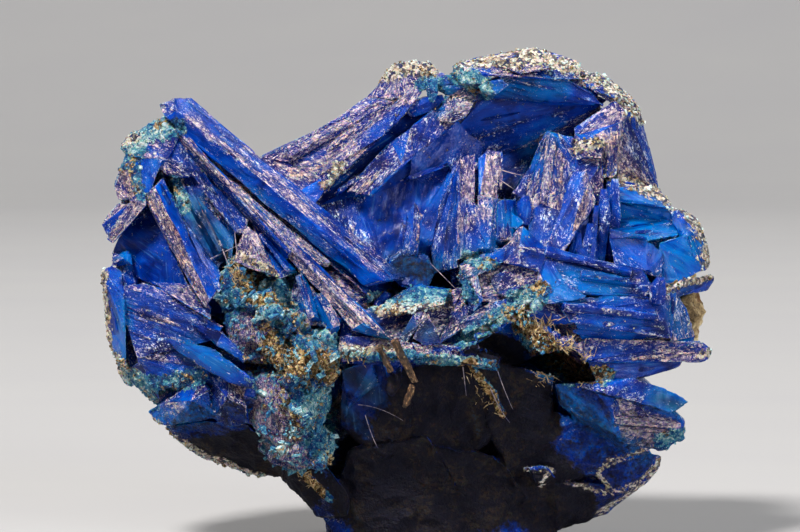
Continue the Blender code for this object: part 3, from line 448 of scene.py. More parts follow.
points, faces, label, longest = refine(
    cad_points, cad_faces, cad_label, np.full(len(cad_faces), COARSE))
air = openness(points, faces)
air_tree = tree_of(points[faces].mean(axis=1))
facing = -(unit(face_normals(points, faces)) @ np.array(sight))
longest = np.where(air <= SEALED, COARSE, np.where((facing > -0.15) & (air > BARELY_OPEN), FINE, MIDDLING))
points, faces, label, longest = refine(points, faces, label, longest)

# where each finish lies on the elevation: (half width, points along its middle), in mm
CRUST_ZONES = [
    (2.3, (-42.4, 57.4), (-39, 61.2), (-34.6, 61.8)), (1.5, (9, 42.6), (13, 41.2)),
    (1.3, (-41, 55.6), (-40, 52)), (1.5, (-34.6, 54), (-33, 50)), (6.5, (-22, 35), (-15, 15)),
    (1.1, (-10, 28.0), (0, 27.8), (13, 26.2)), (2.2, (-4.4, 35.8), (5, 36.6)),
    (1.2, (8.4, 39.4), (9.6, 36)), (2.4, (7.4, 70), (11.6, 67.4)), (2.2, (3, 68.6), (4, 66.6)),
    (1.9, (8.4, 30), (13, 33.4), (20, 36)), (2.8, (17.6, 32), (24, 25.4)),
    (1.6, (-43, 25.6), (-38.4, 20.6)), (1.8, (-40, 23), (-31, 24.6)), (2, (24.6, 25.6), (29.6, 24.4)),
    (0.9, (-16.4, 10.6), (-11.6, 6.2)), (0.8, (10, 26), (14.4, 19)), (1.6, (38, 15), (41, 16)),
    (2, (16, 36), (20, 37.6)),
]
MINT_ZONES = [
    (2.2, (-41.6, 59.6), (-38, 61)), (1.6, (9, 42.6), (12, 41.4)), (1.6, (-33.5, 52), (-31, 48)),
    (1.6, (-4.4, 35.4), (7, 36.2)), (1.2, (-8, 28.8), (13, 28)), (1.8, (9, 30), (20, 35.6)),
    (2.2, (13, 43), (17, 46)), (2, (-42, 24), (-38, 21)), (2, (25, 25), (29.6, 24.4)),
    (2.2, (8, 70), (12, 68)), (3, (-14, 29), (-11, 24)), (3, (-22, 40), (-19, 34)),
]
CHALK_ZONES = [
    (2.6, (-3.4, 70), (0, 71.6), (4, 71)), (2.2, (8, 71.6), (13, 72)), (2.6, (14, 71.8), (20, 72.4)),
    (2.4, (20, 72), (25, 71.2), (28.6, 69.4), (32, 67), (34.6, 64)), (1.5, (30, 54.6), (34, 53.2)),
    (1.5, (34, 53.2), (38.4, 51.6), (42, 49.2)), (1.6, (42.4, 48.8), (44.6, 45), (45.4, 41)),
    (0.9, (-45.6, 40.6), (-45.2, 35), (-44.6, 29), (-42.6, 25)), (0.8, (-38.6, 18.6), (-36, 16.2)),
    (0.7, (-36, 16.2), (-28, 12), (-22, 9.4)), (0.9, (38, 37.6), (46, 39.6)),
    (1.7, (25.6, 59), (29, 59.6)), (1.4, (-42.6, 60), (-41, 60.8)), (0.9, (6.6, 35.4), (-4, 34.2)),
    (1.1, (-19.6, 39.8), (-24.8, 42.6)), (1.2, (44, 28), (45.6, 28.4)), (0.8, (-10, 28.6), (-2, 29)),
    (1.6, (-10, 56), (-12, 53.4)),
]
SCAR_ZONES = [
    (1.2, (38, 12.9), (37.3, 10.6), (33.8, 7.4), (29, 4)), (0.9, (20.3, 8), (22, 10.4), (17.9, 10.6)),
    (0.9, (23.9, 8.6), (26.4, 8.1), (29.6, 7.1)),
    (0.9, (35.3, 13.3), (30.3, 11.8), (28.6, 10.1), (31, 7.4), (35.3, 8.8), (38, 12.8)),
]
# where a painted glow of light through thin crystal turns the blue lighter azure
PAINTED_GLOW_ZONES = [
    (1.8, (-10, 41), (-24, 52)), (2.4, (-6, 33), (-16, 40)), (2, (-42.2, 41.8)),
    (1.6, (-43, 27), (-42.4, 35)), (3.0, (22, 38.4), (31, 38.2)), (2, (40.4, 35), (41.6, 30)),
    (2, (13, 49.6), (17, 47.6)), (4, (42, 44), (40.4, 40)), (2.6, (-27, 26.6), (-33, 29)),
    (2.6, (22, 22), (30, 17), (36, 13.6)), (2.0, (13, 67.6), (23, 67.6)), (3, (-31, 19.6), (-37, 18.6)),
    (1.6, (21, 36.6), (26, 36.6)), (2.2, (-15, 35), (-12, 33)), (2.4, (33, 52.6), (39, 50.4)),
    (2.6, (38, 21.6), (41, 20)), (1.6, (5, 64), (9, 66)), (2, (12, 44), (17, 46)),
    (3, (19, 58), (22, 61)), (4, (34, 49), (40, 44)),
]
TEAL_ZONES = [
    (3.6, (-0.6, 41.4), (4, 40)), (3.2, (8.6, 42), (12.6, 38.6)), (3, (-3, 31), (8, 32)),
    (2.4, (8, 31), (13, 34)), (3.4, (-32, 50), (-27, 42)), (2.4, (18.6, 27.6), (21, 25)),
    (2.6, (-9, 25), (-4, 21)), (2, (-10, 20), (-6, 16)), (2, (38, 21), (41, 20)), (2, (4, 68), (8, 66)),
    (3, (-13, 28), (-12, 12)),
]
# where frost lies thick, its pale flecks partly painted glints
HOAR_AND_GLINT_ZONES = [
    (2.8, (32.4, 19.8), (36.6, 15.4)), (2, (20, 60), (24, 57)), (1.8, (8, 57), (9, 52)),
    (1.6, (12.6, 58), (12.8, 52)), (2.4, (-5, 70), (1, 66)), (2, (-24.6, 45.6), (-23, 42)),
    (2.2, (-41.6, 56), (-35, 55.4)), (1.4, (-33, 63), (-4, 41)), (1.4, (-44, 52), (-40, 49)),
    (1.9, (21.6, 41.6), (31, 40.8)), (1.6, (24, 38), (27, 36)), (1.6, (8, 47), (12, 49)),
    (1.4, (-8, 46.4), (-3, 42)), (2.6, (-16, 8), (-10, 3)), (2, (-17, 55), (-8, 58)),
    (1.8, (-38, 51), (-31, 38)), (1.6, (14.8, 46), (16.6, 44)), (1.6, (-30, 57), (-12, 44)),
    (2, (-38, 22), (-34, 20)), (2, (28, 58), (32, 60)), (1.1, (-10, 29), (2, 28.9)),
    (1.4, (8.6, 40.4), (9.4, 36)), (2, (-21, 21), (-18, 14)),
]
GLASS_ZONES = [
    (7, (-9, 46), (-3, 50)), (7, (-2, 46), (3, 56)), (3.2, (-11, 54), (3, 65)), (5, (16, 62), (24, 64)),
    (4, (14, 60), (17, 57)), (6, (33, 48), (38, 44)), (6, (-38, 44)), (8, (-30, 13), (-24, 11)),
    (3, (24, 20), (35, 13)), (4, (24, 39), (31, 38)), (2.4, (33, 22), (40, 20.6)),
    (2.6, (-31, 41), (-29, 45)), (2, (24.4, 46), (25, 57)), (1.6, (29.6, 44), (30.4, 54)),
    (1.6, (6, 44), (6.4, 56)), (3, (-36, 20), (-33, 19)), (4, (-40, 34), (-33, 31)),
    (2, (28, 34.4), (36, 33.6)), (2.4, (28, 27.4), (36, 27)), (4, (0, 41), (3, 40)),
    (3, (26, 41), (31, 40)),
]
# where faces are fully frosted, with their painted glints
FROST_AND_GLINT_ZONES = [
    (4.4, (-17, 55), (-2, 66)), (2.2, (-7, 54), (4, 62)), (2.6, (6, 64.6), (8, 65.4)),
    (1.4, (-34, 61.6), (-2, 30)), (2.6, (21, 59), (21, 54)), (2.4, (26.6, 63), (31, 65)),
    (1.7, (8.7, 57), (8.8, 51)), (1.9, (12.6, 58), (12.8, 51)), (1.7, (25, 29), (45, 28.4)),
    (3.4, (34, 18.6), (36, 15.6)), (2, (26, 50), (28, 54)), (3, (-43.6, 52), (-39, 50)),
    (1.6, (0.4, 49), (0.8, 44)), (1.5, (-39, 52), (-29.6, 36)), (2, (-22, 44), (-24.6, 42)),
    (2, (31, 60), (33, 56)), (2, (3, 71), (-3, 69)), (1.6, (-42, 37), (-30, 37)),
]
# where faces are faintly frosted, with few painted glints
FAINT_ZONES = [
    (1.6, (-32, 65), (-3, 40.6)), (2.6, (9, 49), (13, 45)), (2.4, (-40, 35), (-33, 33)),
    (2.4, (34, 40), (38, 38)), (2.4, (37, 36), (41, 33)), (2.4, (34, 62), (36, 55)),
    (2, (18, 57), (20, 60)), (1.6, (-34, 25), (-28, 24)), (2.4, (-27, 21), (-25, 20)),
    (1.2, (26, 24), (36, 23.4)), (2, (5.4, 55), (5.2, 44)), (4, (14, 60), (26, 56)),
    (3, (-32, 57), (-26, 50)), (2, (21, 46), (24, 50)), (2, (36, 47), (39, 44)),
    (2, (-36, 19.6), (-31, 19)), (3, (30, 35), (36, 33)),
]
TAN_ZONES = [
    (3, (-25, 41), (-22, 36)), (5, (-20, 28), (-12, 25)), (3.4, (17, 33), (23, 28), (28, 25)),
    (1.6, (9, 26), (14, 19)), (1, (14, 36)), (1.4, (24, 25), (30, 25)), (1.6, (-17, 10), (-13, 7)),
    (2.4, (-19, 22), (-17, 14)),
]
# where shade is painted near-black: the underside, and the recess below the ledge
SHADE_ZONES = [
    (11.5, (-1.6, 9), (12, 11)), (7, (-30, 9), (-18, 10)), (8, (2, 20), (12, 21)), (7, (12, 14), (22, 5)),
    (3, (10, 30), (16, 28)), (3.0, (14, 25), (19.4, 22.4), (20.6, 17)),
]
# places painted half dark: painted shade low at the right, the left and under the ledge, and the dome in the
# hollow darkened
DIM_ZONES = [
    (5, (22, 9), (33, 9)), (3, (24, 14), (30, 12)), (3, (-34, 16), (-26, 12)), (4, (-12, 20), (-8, 14)),
    (4, (0, 41), (3, 40)),
]

across, up = elevation(points)
wander_across, wander_up = rough(points, 5.0, 3), rough(points, 5.0, 9)
across_w, up_w = across + wander_across * WANDER, up + wander_up * WANDER
normals = vertex_normals(points, faces)
front = np.clip(-(normals @ np.array(sight)) * 3 + 1, 0, 1)
crust = zone(across_w, up_w, CRUST_ZONES) * front
mint = zone(across_w, up_w, MINT_ZONES, blur=0.8) * front
chalk = zone(across_w, up_w, CHALK_ZONES, blur=0.8)
scars = zone(across_w * 0.4 + across * 0.6, up_w * 0.4 + up * 0.6, SCAR_ZONES, blur=0.8) * front
painted_glow = zone(across_w, up_w, PAINTED_GLOW_ZONES, blur=0.7) * front
tan = np.clip(0.08 + zone(across_w, up_w, TAN_ZONES, blur=0.7), 0, 1)
teal = zone(across_w, up_w, TEAL_ZONES, blur=0.8) * front
# painted shade: low faces that look down darken, with the shade zones; the dim zones add it at half strength
underside_shade = np.clip((28 - up) / 6, 0, 1) * np.clip(-normals[:, 2] * 1.5 + 0.2, 0, 1)
dark = np.clip(zone(across_w, up_w, SHADE_ZONES, blur=0.4) * front + underside_shade * 0.5, 0, 1) * (1 - 0.7 * teal)
dark = np.maximum(dark, zone(across_w, up_w, DIM_ZONES, blur=0.7) * front * 0.5)

# a crystal face is either frosted or glassy: its slope towards the key light, its place and chance decide,
# so faces turned to the light carry more of the frost's painted glints
KEY_LIGHT_SIDE = Vector((-0.35, -0.55, 0.75)).normalized()  # faces turned this way have more frost
FAINT_FROST, FULL_FROST = (0.35, 0.2), (0.75, 0.25)  # the least frost, and what chance adds
flat_normal = unit(face_normals(points, faces))
middle = points[faces].mean(axis=1)
middle_across, middle_up = elevation(middle)
middle_front = -(flat_normal @ np.array(sight)) > 0
facet_rows = np.maximum(np.bincount(label, minlength=facet_count), 1)


def facet_mean(values):
    """The mean over each crystal face of a value of its triangles."""
    return np.bincount(label, values, facet_count) / facet_rows


facet_light = facet_normal @ np.array(KEY_LIGHT_SIDE)
facet_frost = np.clip((facet_light - 0.62) * 3 + (facet_chance[:, 0] - 0.45) * 2.2, 0, 1)
in_frost, in_faint, in_glass = (
    facet_mean(zone(middle_across, middle_up, zones, blur=0.3) * middle_front)
    for zones in (FROST_AND_GLINT_ZONES, FAINT_ZONES, GLASS_ZONES))
facet_frost *= np.clip(1 - in_glass * 1.5, 0.04, 1) * 0.75
for inside, (least, more) in ((in_faint > 0.3, FAINT_FROST), (in_frost > 0.4, FULL_FROST)):
    facet_frost = np.where(inside, least + more * facet_chance[:, 1], facet_frost)
corner_count = np.bincount(faces.ravel(), minlength=len(points))
frost = np.bincount(faces.ravel(), np.repeat(facet_frost[label], 3), len(points)) / corner_count

# points on the standing edges of the crystals
ends = np.sort(faces[:, SIDES].reshape(-1, 2), axis=1)
order = np.lexsort((ends[:, 1], ends[:, 0]))
pair = (ends[order][1:] == ends[order][:-1]).all(axis=1)
owner = np.repeat(np.arange(len(faces)), 3)[order]
one, two = owner[:-1][pair], owner[1:][pair]
turn = (flat_normal[one] * flat_normal[two]).sum(axis=1)
standing = ((middle[two] - middle[one]) * flat_normal[one]).sum(axis=1) < 0
sharp = standing & (turn < math.cos(SHARP)) & (label[one] != label[two])
edge = np.zeros(len(points))
edge[ends[order][:-1][pair][sharp].ravel()] = 1

# frost, with its painted glints, creeps in from the standing edges, and lies thick where hoar has grown
RIME, HOAR = 0.5, 0.45  # how much frost each adds
near_edge = edge
for _ in range(6):
    near_edge = (near_edge + neighbour_mean(near_edge[:, None], faces)[:, 0]) / 2
edge_frost_and_glint = np.clip(near_edge * 3.2, 0, 1) * np.clip(0.55 + rough(points, 5.0, 25), 0, 1.2) * RIME
glassy = zone(across_w, up_w, GLASS_ZONES, blur=0.4) * front
edge_frost_and_glint *= 1 - 0.7 * glassy
edge_frost_and_glint += zone(across_w, up_w, HOAR_AND_GLINT_ZONES, blur=0.8) * front * HOAR
hidden = air[[air_tree.find(point)[1] for point in points]] <= SEALED

# the skin of the crystal: growth steps, pits, shell-like breaks, crust and rubble
axes = np.stack([facet_axis, facet_side, facet_normal], axis=1)[label]
lie_face = np.einsum("nij,nkj->nki", axes, points[faces]) * np.array(DRAWN_OUT)
lie_face += facet_chance[label][:, None, :3] * SCATTER
along = corner_sum(faces, lie_face, len(points)) / corner_count[:, None]

plain = (1 - crust) * (1 - chalk) * (1 - dark)
points = relax(points, faces, np.clip(dark, 0, 1) * ~hidden, ROUNDING)
height = frost * plain * (stairs(rough(along * (0.45, 1, 1), 1.9, 35, 2) * 2.4) * FROST_STEP
                          + rough(along, 0.9, 31, 2) * FROST_RIDGE)
height -= frost * plain * np.clip(rough(along, 0.8, 41, 2) - 0.2, 0, 1) * FROST_PIT
height += (1 - frost) * plain * (stairs(rough(points, 6.5, 51, 2) * 2.6, 0.22) * GLASS_STEP
                                 + rough(points, 3.0, 53, 2) * GLASS_SWELL)
height += crust * (crumpled(points * (1, 1, 0.6), 2.2, 61) * CRUST_CREST
                   + lumps(points, 0.9, 63) * CRUST_LUMP - CRUST_SUNK)
height += chalk * (lumps(points, 1.0, 71) * RIM_LUMP + rough(points, 1.0, 73, 2) * RIM_GRAIN - RIM_SUNK)
height += dark * (rough(points, 6.0, 91, 3) * ROOT_SWELL + crumpled(points, 3.0, 93) * ROOT_CREST
                  + rough(points, 1.1, 95, 2) * ROOT_GRAIN - ROOT_SUNK)
chip = np.clip(rough(points, 2.2, 81, 3) + 0.15, 0, 1)
height -= edge * chip * CHIP * (1 - dark * 0.5)
height[hidden] = 0
points = points + normals * height[:, None]
points[:, 2] = np.maximum(points[:, 2], 0)


def mesh_piece(name, points, faces, material, corner_values=None):
    """A smooth-shaded mesh object from arrays in mm, with values stored on its corners."""
    used, index = np.unique(faces, return_inverse=True)
    mesh = bpy.data.meshes.new(name)
    index = index.reshape(-1, 3)
    mesh.vertices.add(len(used))
    above_floor = np.maximum(points[used], (-np.inf, -np.inf, 0))
    mesh.vertices.foreach_set("co", (above_floor * MM).astype(np.float32).ravel())
    mesh.loops.add(index.size)
    mesh.loops.foreach_set("vertex_index", index.ravel().astype(np.int32))
    mesh.polygons.add(len(index))
    mesh.polygons.foreach_set("loop_start", np.arange(0, index.size, 3, dtype=np.int32))
    mesh.update(calc_edges=True)
    for label, value in (corner_values or {}).items():
        flat = np.asarray(value, np.float32).reshape(index.size, -1)
        kind = "FLOAT" if flat.shape[1] == 1 else "FLOAT_VECTOR"
        store = mesh.attributes.new(label, kind, "CORNER")
        store.data.foreach_set("value" if kind == "FLOAT" else "vector", flat.ravel())
    mesh.shade_smooth()
    mesh.set_sharp_from_angle(angle=CREASE)
    mesh.materials.append(material)
    piece = bpy.data.objects.new(name, mesh)
    bpy.context.scene.collection.objects.link(piece)
    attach(piece, "root")
    return piece


MASKS = ("frost", "crust", "chalk", "mint", "tan", "teal", "painted_glow", "dark", "edge", "tone")


def masks_for(count, **given):
    """Every mask of the crystals' material for so many points or corners, 0 where not given."""
    return {mask: given.get(mask, 0) + np.zeros(count) for mask in MASKS}


def start_group(name, **numbers):
    """A shader node group that takes a Vector and numbers: the group and the wires from them."""
    group = bpy.data.node_groups.new(name, "ShaderNodeTree")
    group.interface.new_socket("Vector", in_out="INPUT", socket_type="NodeSocketVector")
    for label, value in numbers.items():
        socket = group.interface.new_socket(label, in_out="INPUT", socket_type="NodeSocketFloat")
        socket.default_value = value
    given = add(group, "NodeGroupInput")
    return group, given["Vector"], *(given[label] for label in numbers)


def end_group(group, **wires):
    """Gives a node group its named outputs."""
    for name, wire in wires.items():
        kind = "NodeSocketColor" if wire.socket.type == "RGBA" else "NodeSocketFloat"
        group.interface.new_socket(name, in_out="OUTPUT", socket_type=kind)
    made = group.nodes.new("NodeGroupOutput")
    for name, wire in wires.items():
        group.links.new(wire.socket, made.inputs[name])
    return group


def use_group(group, **values):
    """A node group in the tree of its Vector."""
    return add(values["Vector"].tree, "ShaderNodeGroup", values, node_tree=group)


def step_of(value, low, high, start=0.0, end=1.0):
    """Start below low, end above high."""
    return add(value.tree, "ShaderNodeMapRange", {"Value": value, "From Min": low, "From Max": high,
               "To Min": start, "To Max": end})


def greater(a, b):
    """The greater of two wires."""
    return add(a.tree, "ShaderNodeMath", {0: a, 1: b}, operation="MAXIMUM")


def ramp(value, *stops):
    """A colour ramp of (place, colour) stops."""
    wire = add(value.tree, "ShaderNodeValToRGB", {"Fac": value})
    elements = wire.socket.node.color_ramp.elements
    while len(elements) < len(stops):
        elements.new(0.5)
    for element, (place, colour) in zip(elements, stops):
        element.position = place
        element.color = (*colour, 1)
    return wire


def attribute(tree, name, output="Fac"):
    """A value that the mesh stores on its corners."""
    return add(tree, "ShaderNodeAttribute", attribute_name=name)[output]


def millimetres(tree):
    """Object coordinates in mm."""
    return add(tree, "ShaderNodeTexCoord")["Object"] * (1000, 1000, 1000)


def finish_material(shader, colour, roughness, height, strength, deep):
    """Gives a shader its colour and roughness, and relief about deep metres high."""
    relief = add(colour.tree, "ShaderNodeBump", {"Height": height, "Strength": strength, "Distance": deep})
    for name, wire in (("Base Color", colour), ("Roughness", roughness), ("Normal", relief)):
        colour.tree.links.new(wire.socket, shader.inputs[name])


# packed mineral grains: a pale-to-dark value and an odd number for each grain, and relief
group, vector, scale = start_group("mineral_grains", Scale=1.5)
bend = noise(vector, 1.1)["Color"] * (0.5, 0.5, 0.5)
bent = add(group, "ShaderNodeVectorMath", {0: vector, 1: bend}, operation="ADD")
cells = add(group, "ShaderNodeTexVoronoi", {"Vector": bent, "Scale": scale})
fine = noise(vector, 3.4, 4, 0.7)
apart = add(group, "ShaderNodeSeparateColor", {"Color": cells["Color"]})
grains = end_group(group, Value=apart["Red"] * 0.5 + fine * 0.7 - 0.1, Odd=apart["Green"],
                   Height=fine - cells["Distance"] * 0.8)

# etched frost on a crystal face, like crinkled foil, its pale crests partly painted glints: how pale it is,
# and how high it stands
group, vector, frost_share = start_group("frost_flecks", Frost=0.5)
crest = step_of(abs(noise(vector, 1.25, 3, 0.62, 0.9) - 0.5), 0.12, 0.0)
patch = noise(vector, 0.36, 3, 0.65)
level = crest * 0.32 + noise(vector, 4.2, 2, 0.75) + (patch - 0.5) * 1.3
low = 0.98 - frost_share * 0.44
uneven = step_of(noise(vector, 1.7, 2, 0.7), 0.40, 0.60, 0.22, 1.0)
frost_flecks = end_group(group, Mask=step_of(level, low, low + 0.12) * uneven, Height=level)

# mixed copper salts: teal glass, mint and cream sugar on it, and tan stains, in patches, with painted
# highlights as pale glint specks and lighter crests on its folds
group, vector, pale_share, tan_share = start_group("mixed_salts", Pale=0.0, Tan=0.3)
grain = use_group(grains, Vector=vector, Scale=2.3)
fold = noise(vector, 0.85, 4, 0.65, 1.4)
crest = step_of(abs(fold - 0.5), 0.12, 0.0)
glint = noise(vector, 4.2, 2, 0.7)
patch = noise(vector, 0.26, 4, 0.65)
value = grain["Value"] * 0.55 + crest * 0.24 + (patch - 0.4) * 1.3 + pale_share * 0.20
green = ramp(value, (0.24, (0.001, 0.012, 0.08)), (0.40, (0.002, 0.045, 0.20)),
             (0.56, (0.008, 0.13, 0.27)), (0.72, (0.10, 0.32, 0.38)), (0.94, (0.62, 0.74, 0.72)))
tawny = ramp(grain["Value"] - 0.04, (0.24, (0.02, 0.012, 0.006)), (0.44, (0.17, 0.09, 0.03)),
             (0.60, (0.46, 0.30, 0.11)), (0.82, (0.80, 0.66, 0.40)))
low = 0.68 - tan_share * 0.34
blotch = add(group, "ShaderNodeSeparateColor", {"Color": patch["Color"]})["Blue"]
colour = mixed(step_of(blotch + grain["Odd"] * 0.12, low, low + 0.06), green, tawny)
colour = mixed(step_of(glint, 0.64, 0.69) * 0.8, colour, (0.78, 0.80, 0.74))
mixed_salts = end_group(group, Color=colour, Height=grain["Height"] * 0.6 + (glint + fold))


def crystal_material(name, gloss):
    """Copper sulphate: royal blue and glassy, frosted on grown faces with painted glints and edge
    highlights, lighter with a painted glow where thin, near-black with painted shade where dark, crusted
    where masked.
    """
    material, tree, shader = new_material(name)
    lie, place = attribute(tree, "lie", "Vector"), millimetres(tree)
    frost, crust, chalk, mint, tan, teal, painted_glow, dark, edge, tone = (
        attribute(tree, mask) for mask in MASKS)

    cloud = noise(place, 0.22, 3, distortion=0.8)
    streak = noise(lie, 1.1, 4, 0.6)
    shade = cloud * 0.7 + streak * 0.3 + (tone - 0.5) * 0.22
    body = ramp(shade, (0.30, (0.0, 0.005, 0.07)), (0.44, (0.0, 0.018, 0.20)),
                (0.56, (0.0, 0.044, 0.37)), (0.72, (0.0, 0.11, 0.58)))
    # painted glow: lighter azure blue along the streaks, where light comes through thin crystal
    body = mixed(painted_glow * step_of(streak, 0.30, 0.55), body, (0.0, 0.125, 0.45))
    sea = ramp(shade, (0.34, (0.0, 0.010, 0.045)), (0.50, (0.001, 0.038, 0.115)),
               (0.66, (0.005, 0.13, 0.23)))
    body = mixed(teal * 0.85, body, sea)
    vein = step_of(noise(lie * (0.25, 1, 1), 2.2, 2, 0.7), 0.60, 0.68) * step_of(cloud, 0.42, 0.60)
    body = mixed(vein * 0.28, body, (0.10, 0.34, 0.70))

    etched_and_glinting = use_group(frost_flecks, Vector=lie * (3.0, 1, 1), Frost=frost)
    groove = step_of(abs(noise(lie * (0.8, 1, 1), 0.9) - 0.5), 0.035, 0.01)
    fleck = etched_and_glinting["Mask"] * (1.0 - groove * 0.8)
    gap = mixed(step_of(frost, 0.35, 1.0) * 0.65, body, (0.024, 0.018, 0.10))
    # the flecks' colours are painted glints: cool white where frost is light, warm pink and cream where it
    # is full
    warm = noise(place, 2.6)
    cool = ramp(warm, (0.38, (0.08, 0.26, 0.68)), (0.48, (0.44, 0.58, 0.82)), (0.58, (0.86, 0.86, 0.90)))
    blush = ramp(warm, (0.36, (0.36, 0.28, 0.50)), (0.45, (0.74, 0.54, 0.58)),
                 (0.54, (0.98, 0.88, 0.84)), (0.66, (0.74, 0.50, 0.36)))
    frosted = mixed(fleck * 0.92, gap, mixed(step_of(frost, 0.40, 0.80), cool, blush))
    ragged = noise(place, 1.3, 4, 0.7)
    # painted edge highlights: broken pale lines along the standing edges, pinkish or cyan by the face's tone
    rim = step_of(edge + ragged * 3.2, 2.42, 2.80)
    frosted = mixed(rim * 0.8, frosted, mixed(tone, (0.74, 0.62, 0.62), (0.16, 0.42, 0.72)))

    grain = use_group(grains, Vector=place, Scale=2.1)
    salts = use_group(mixed_salts, Vector=place, Pale=mint, Tan=tan)
    white = ramp(grain["Value"], (0.24, (0.01, 0.02, 0.10)), (0.40, (0.11, 0.09, 0.08)),
                 (0.56, (0.50, 0.42, 0.30)), (0.78, (0.90, 0.86, 0.78)))
    # painted shade: near-black navy and brown where the dark mask lies, on the underside and in the recesses
    # below the ledge
    painted_shade_colour = ramp(cloud * 0.7 + grain["Value"] * 0.35, (0.36, (0.002, 0.002, 0.010)),
                (0.56, (0.006, 0.005, 0.012)), (0.68, (0.026, 0.017, 0.012)), (0.80, (0.012, 0.03, 0.06)))
    fuzz = ragged - 0.5
    shadowed = step_of(dark + fuzz * 1.2, 0.30, 0.66)
    stray = fuzz * (3.0 - shadowed * 1.8)
    crust_cover = step_of(crust + stray, 0.42, 0.58)
    chalk_cover = step_of(chalk + stray, 0.46, 0.60)
    colour = mixed(shadowed, frosted, painted_shade_colour)
    colour = mixed(crust_cover, colour, salts["Color"])
    colour = mixed(chalk_cover, colour, white)

    dull = greater(crust_cover, chalk_cover)
    roughness = dull * 0.34 + fleck * 0.14 + shadowed * 0.4 + teal * 0.2 + 0.14
    skin = etched_and_glinting["Height"] * (frost * 1.2 + 0.12) + streak * 0.4
    gritty = salts["Height"] * greater(dull, shadowed * 0.7)
    finish_material(shader, colour, roughness, skin + gritty, strength=1.0, deep=0.0004)
    shader.inputs["IOR"].default_value = 1.54
    shader.inputs["Transmission Weight"].default_value = 0.15
    shader.inputs["Subsurface Weight"].default_value = 0.45
    shader.inputs["Subsurface Radius"].default_value = (0.05, 0.3, 1.0)
    shader.inputs["Subsurface Scale"].default_value = 0.003
    shader.inputs["Specular IOR Level"].default_value = gloss
    return material


blue = crystal_material("chalcanthite", gloss=0.11)
root_blue = crystal_material("chalcanthite_root", gloss=0.06)
middle = points[faces].mean(axis=1)
facet_across, _ = elevation(np.stack([facet_mean(middle[:, axis]) for axis in range(3)], axis=1))
# crystal faces mostly under the painted shade make the shaded root piece
shaded = facet_mean(dark[faces].mean(axis=1)) > 0.45
behind = (facet_normal @ np.array(sight) > 0.3) & ~shaded
LEFT_RIM, LEFT_BLADES, MIDDLE = -26, -6, 16  # mm across, where each group of crystals ends
facet_piece = np.select([shaded, behind, facet_across < LEFT_RIM, facet_across < LEFT_BLADES,
                         facet_across < MIDDLE], [0, 1, 2, 3, 4], 5)
point_masks = {"crust": crust, "chalk": np.maximum(chalk, scars * 0.72), "mint": mint, "tan": tan,
               "teal": teal, "painted_glow": painted_glow, "dark": dark, "edge": edge * (1 - 0.6 * glassy)}
for number, name in enumerate(("shaded_root", "crystal_backs", "left_rim_crystals", "left_blades",
                               "middle_crystals", "right_crystals")):
    rows = facet_piece[label] == number
    own = faces[rows]
    own_frost = np.repeat(facet_frost[label[rows]], 3) * (1 - 0.42 * glassy[own].ravel()) + edge_frost_and_glint[own].ravel()
    piece = mesh_piece(name, points, own, blue if number else root_blue, {
        "lie": lie_face[rows], "frost": np.clip(own_frost, 0, 1.3),
        "tone": np.repeat(facet_chance[label[rows], 3], 3),
        **{mask: value[own] for mask, value in point_masks.items()}})
    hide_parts("chalcanthite_crystals")

# ---------------------------------------------------------------- ribs on the blades
# Thin parallel blades that have grown side by side on the long crystals: each is a low tapered
# rod along the face that carries it, sunk in it by half.

RIBS = 620
RIB_LONG, RIB_WIDE, RIB_HIGH = (4, 12), (0.35, 1.1), (0.10, 0.28)  # mm, least and most
RIB_SHORTEST = 2  # mm, a rib that would have to be shorter than this is left out


def hull_arrays(mesh):
    """The convex hull of a bmesh's points, as arrays of points and triangles."""
    made = bmesh.ops.convex_hull(mesh, input=mesh.verts)
    inside = {part for part in made["geom_interior"] + made["geom_unused"]
              if isinstance(part, bmesh.types.BMVert)}
    bmesh.ops.delete(mesh, geom=list(inside), context="VERTS")
    bmesh.ops.triangulate(mesh, faces=mesh.faces)
    bmesh.ops.recalc_face_normals(mesh, faces=mesh.faces)
    mesh.verts.index_update()
    points = np.array([vert.co for vert in mesh.verts])
    faces = np.array([[vert.index for vert in face.verts] for face in mesh.faces])
    mesh.free()
    return points, faces


def rib(length, wide, high, chance):
    """A low tapered rod along X, with its top towards Z: arrays."""
    mesh = bmesh.new()
    for share, part in ((-0.5, 0.3), (-0.38, 0.85), (chance.uniform(-0.1, 0.2), 1.0), (0.5, 0.4)):
        drift = chance.uniform(-0.12, 0.12) * wide
        for y, z in ((-0.5, -0.8), (0.5, -0.8), (-0.42, 0.7), (0.12, 1.0), (0.46, 0.5)):
            mesh.verts.new((share * length, y * wide * part + drift, z * high * part))
    return hull_arrays(mesh)


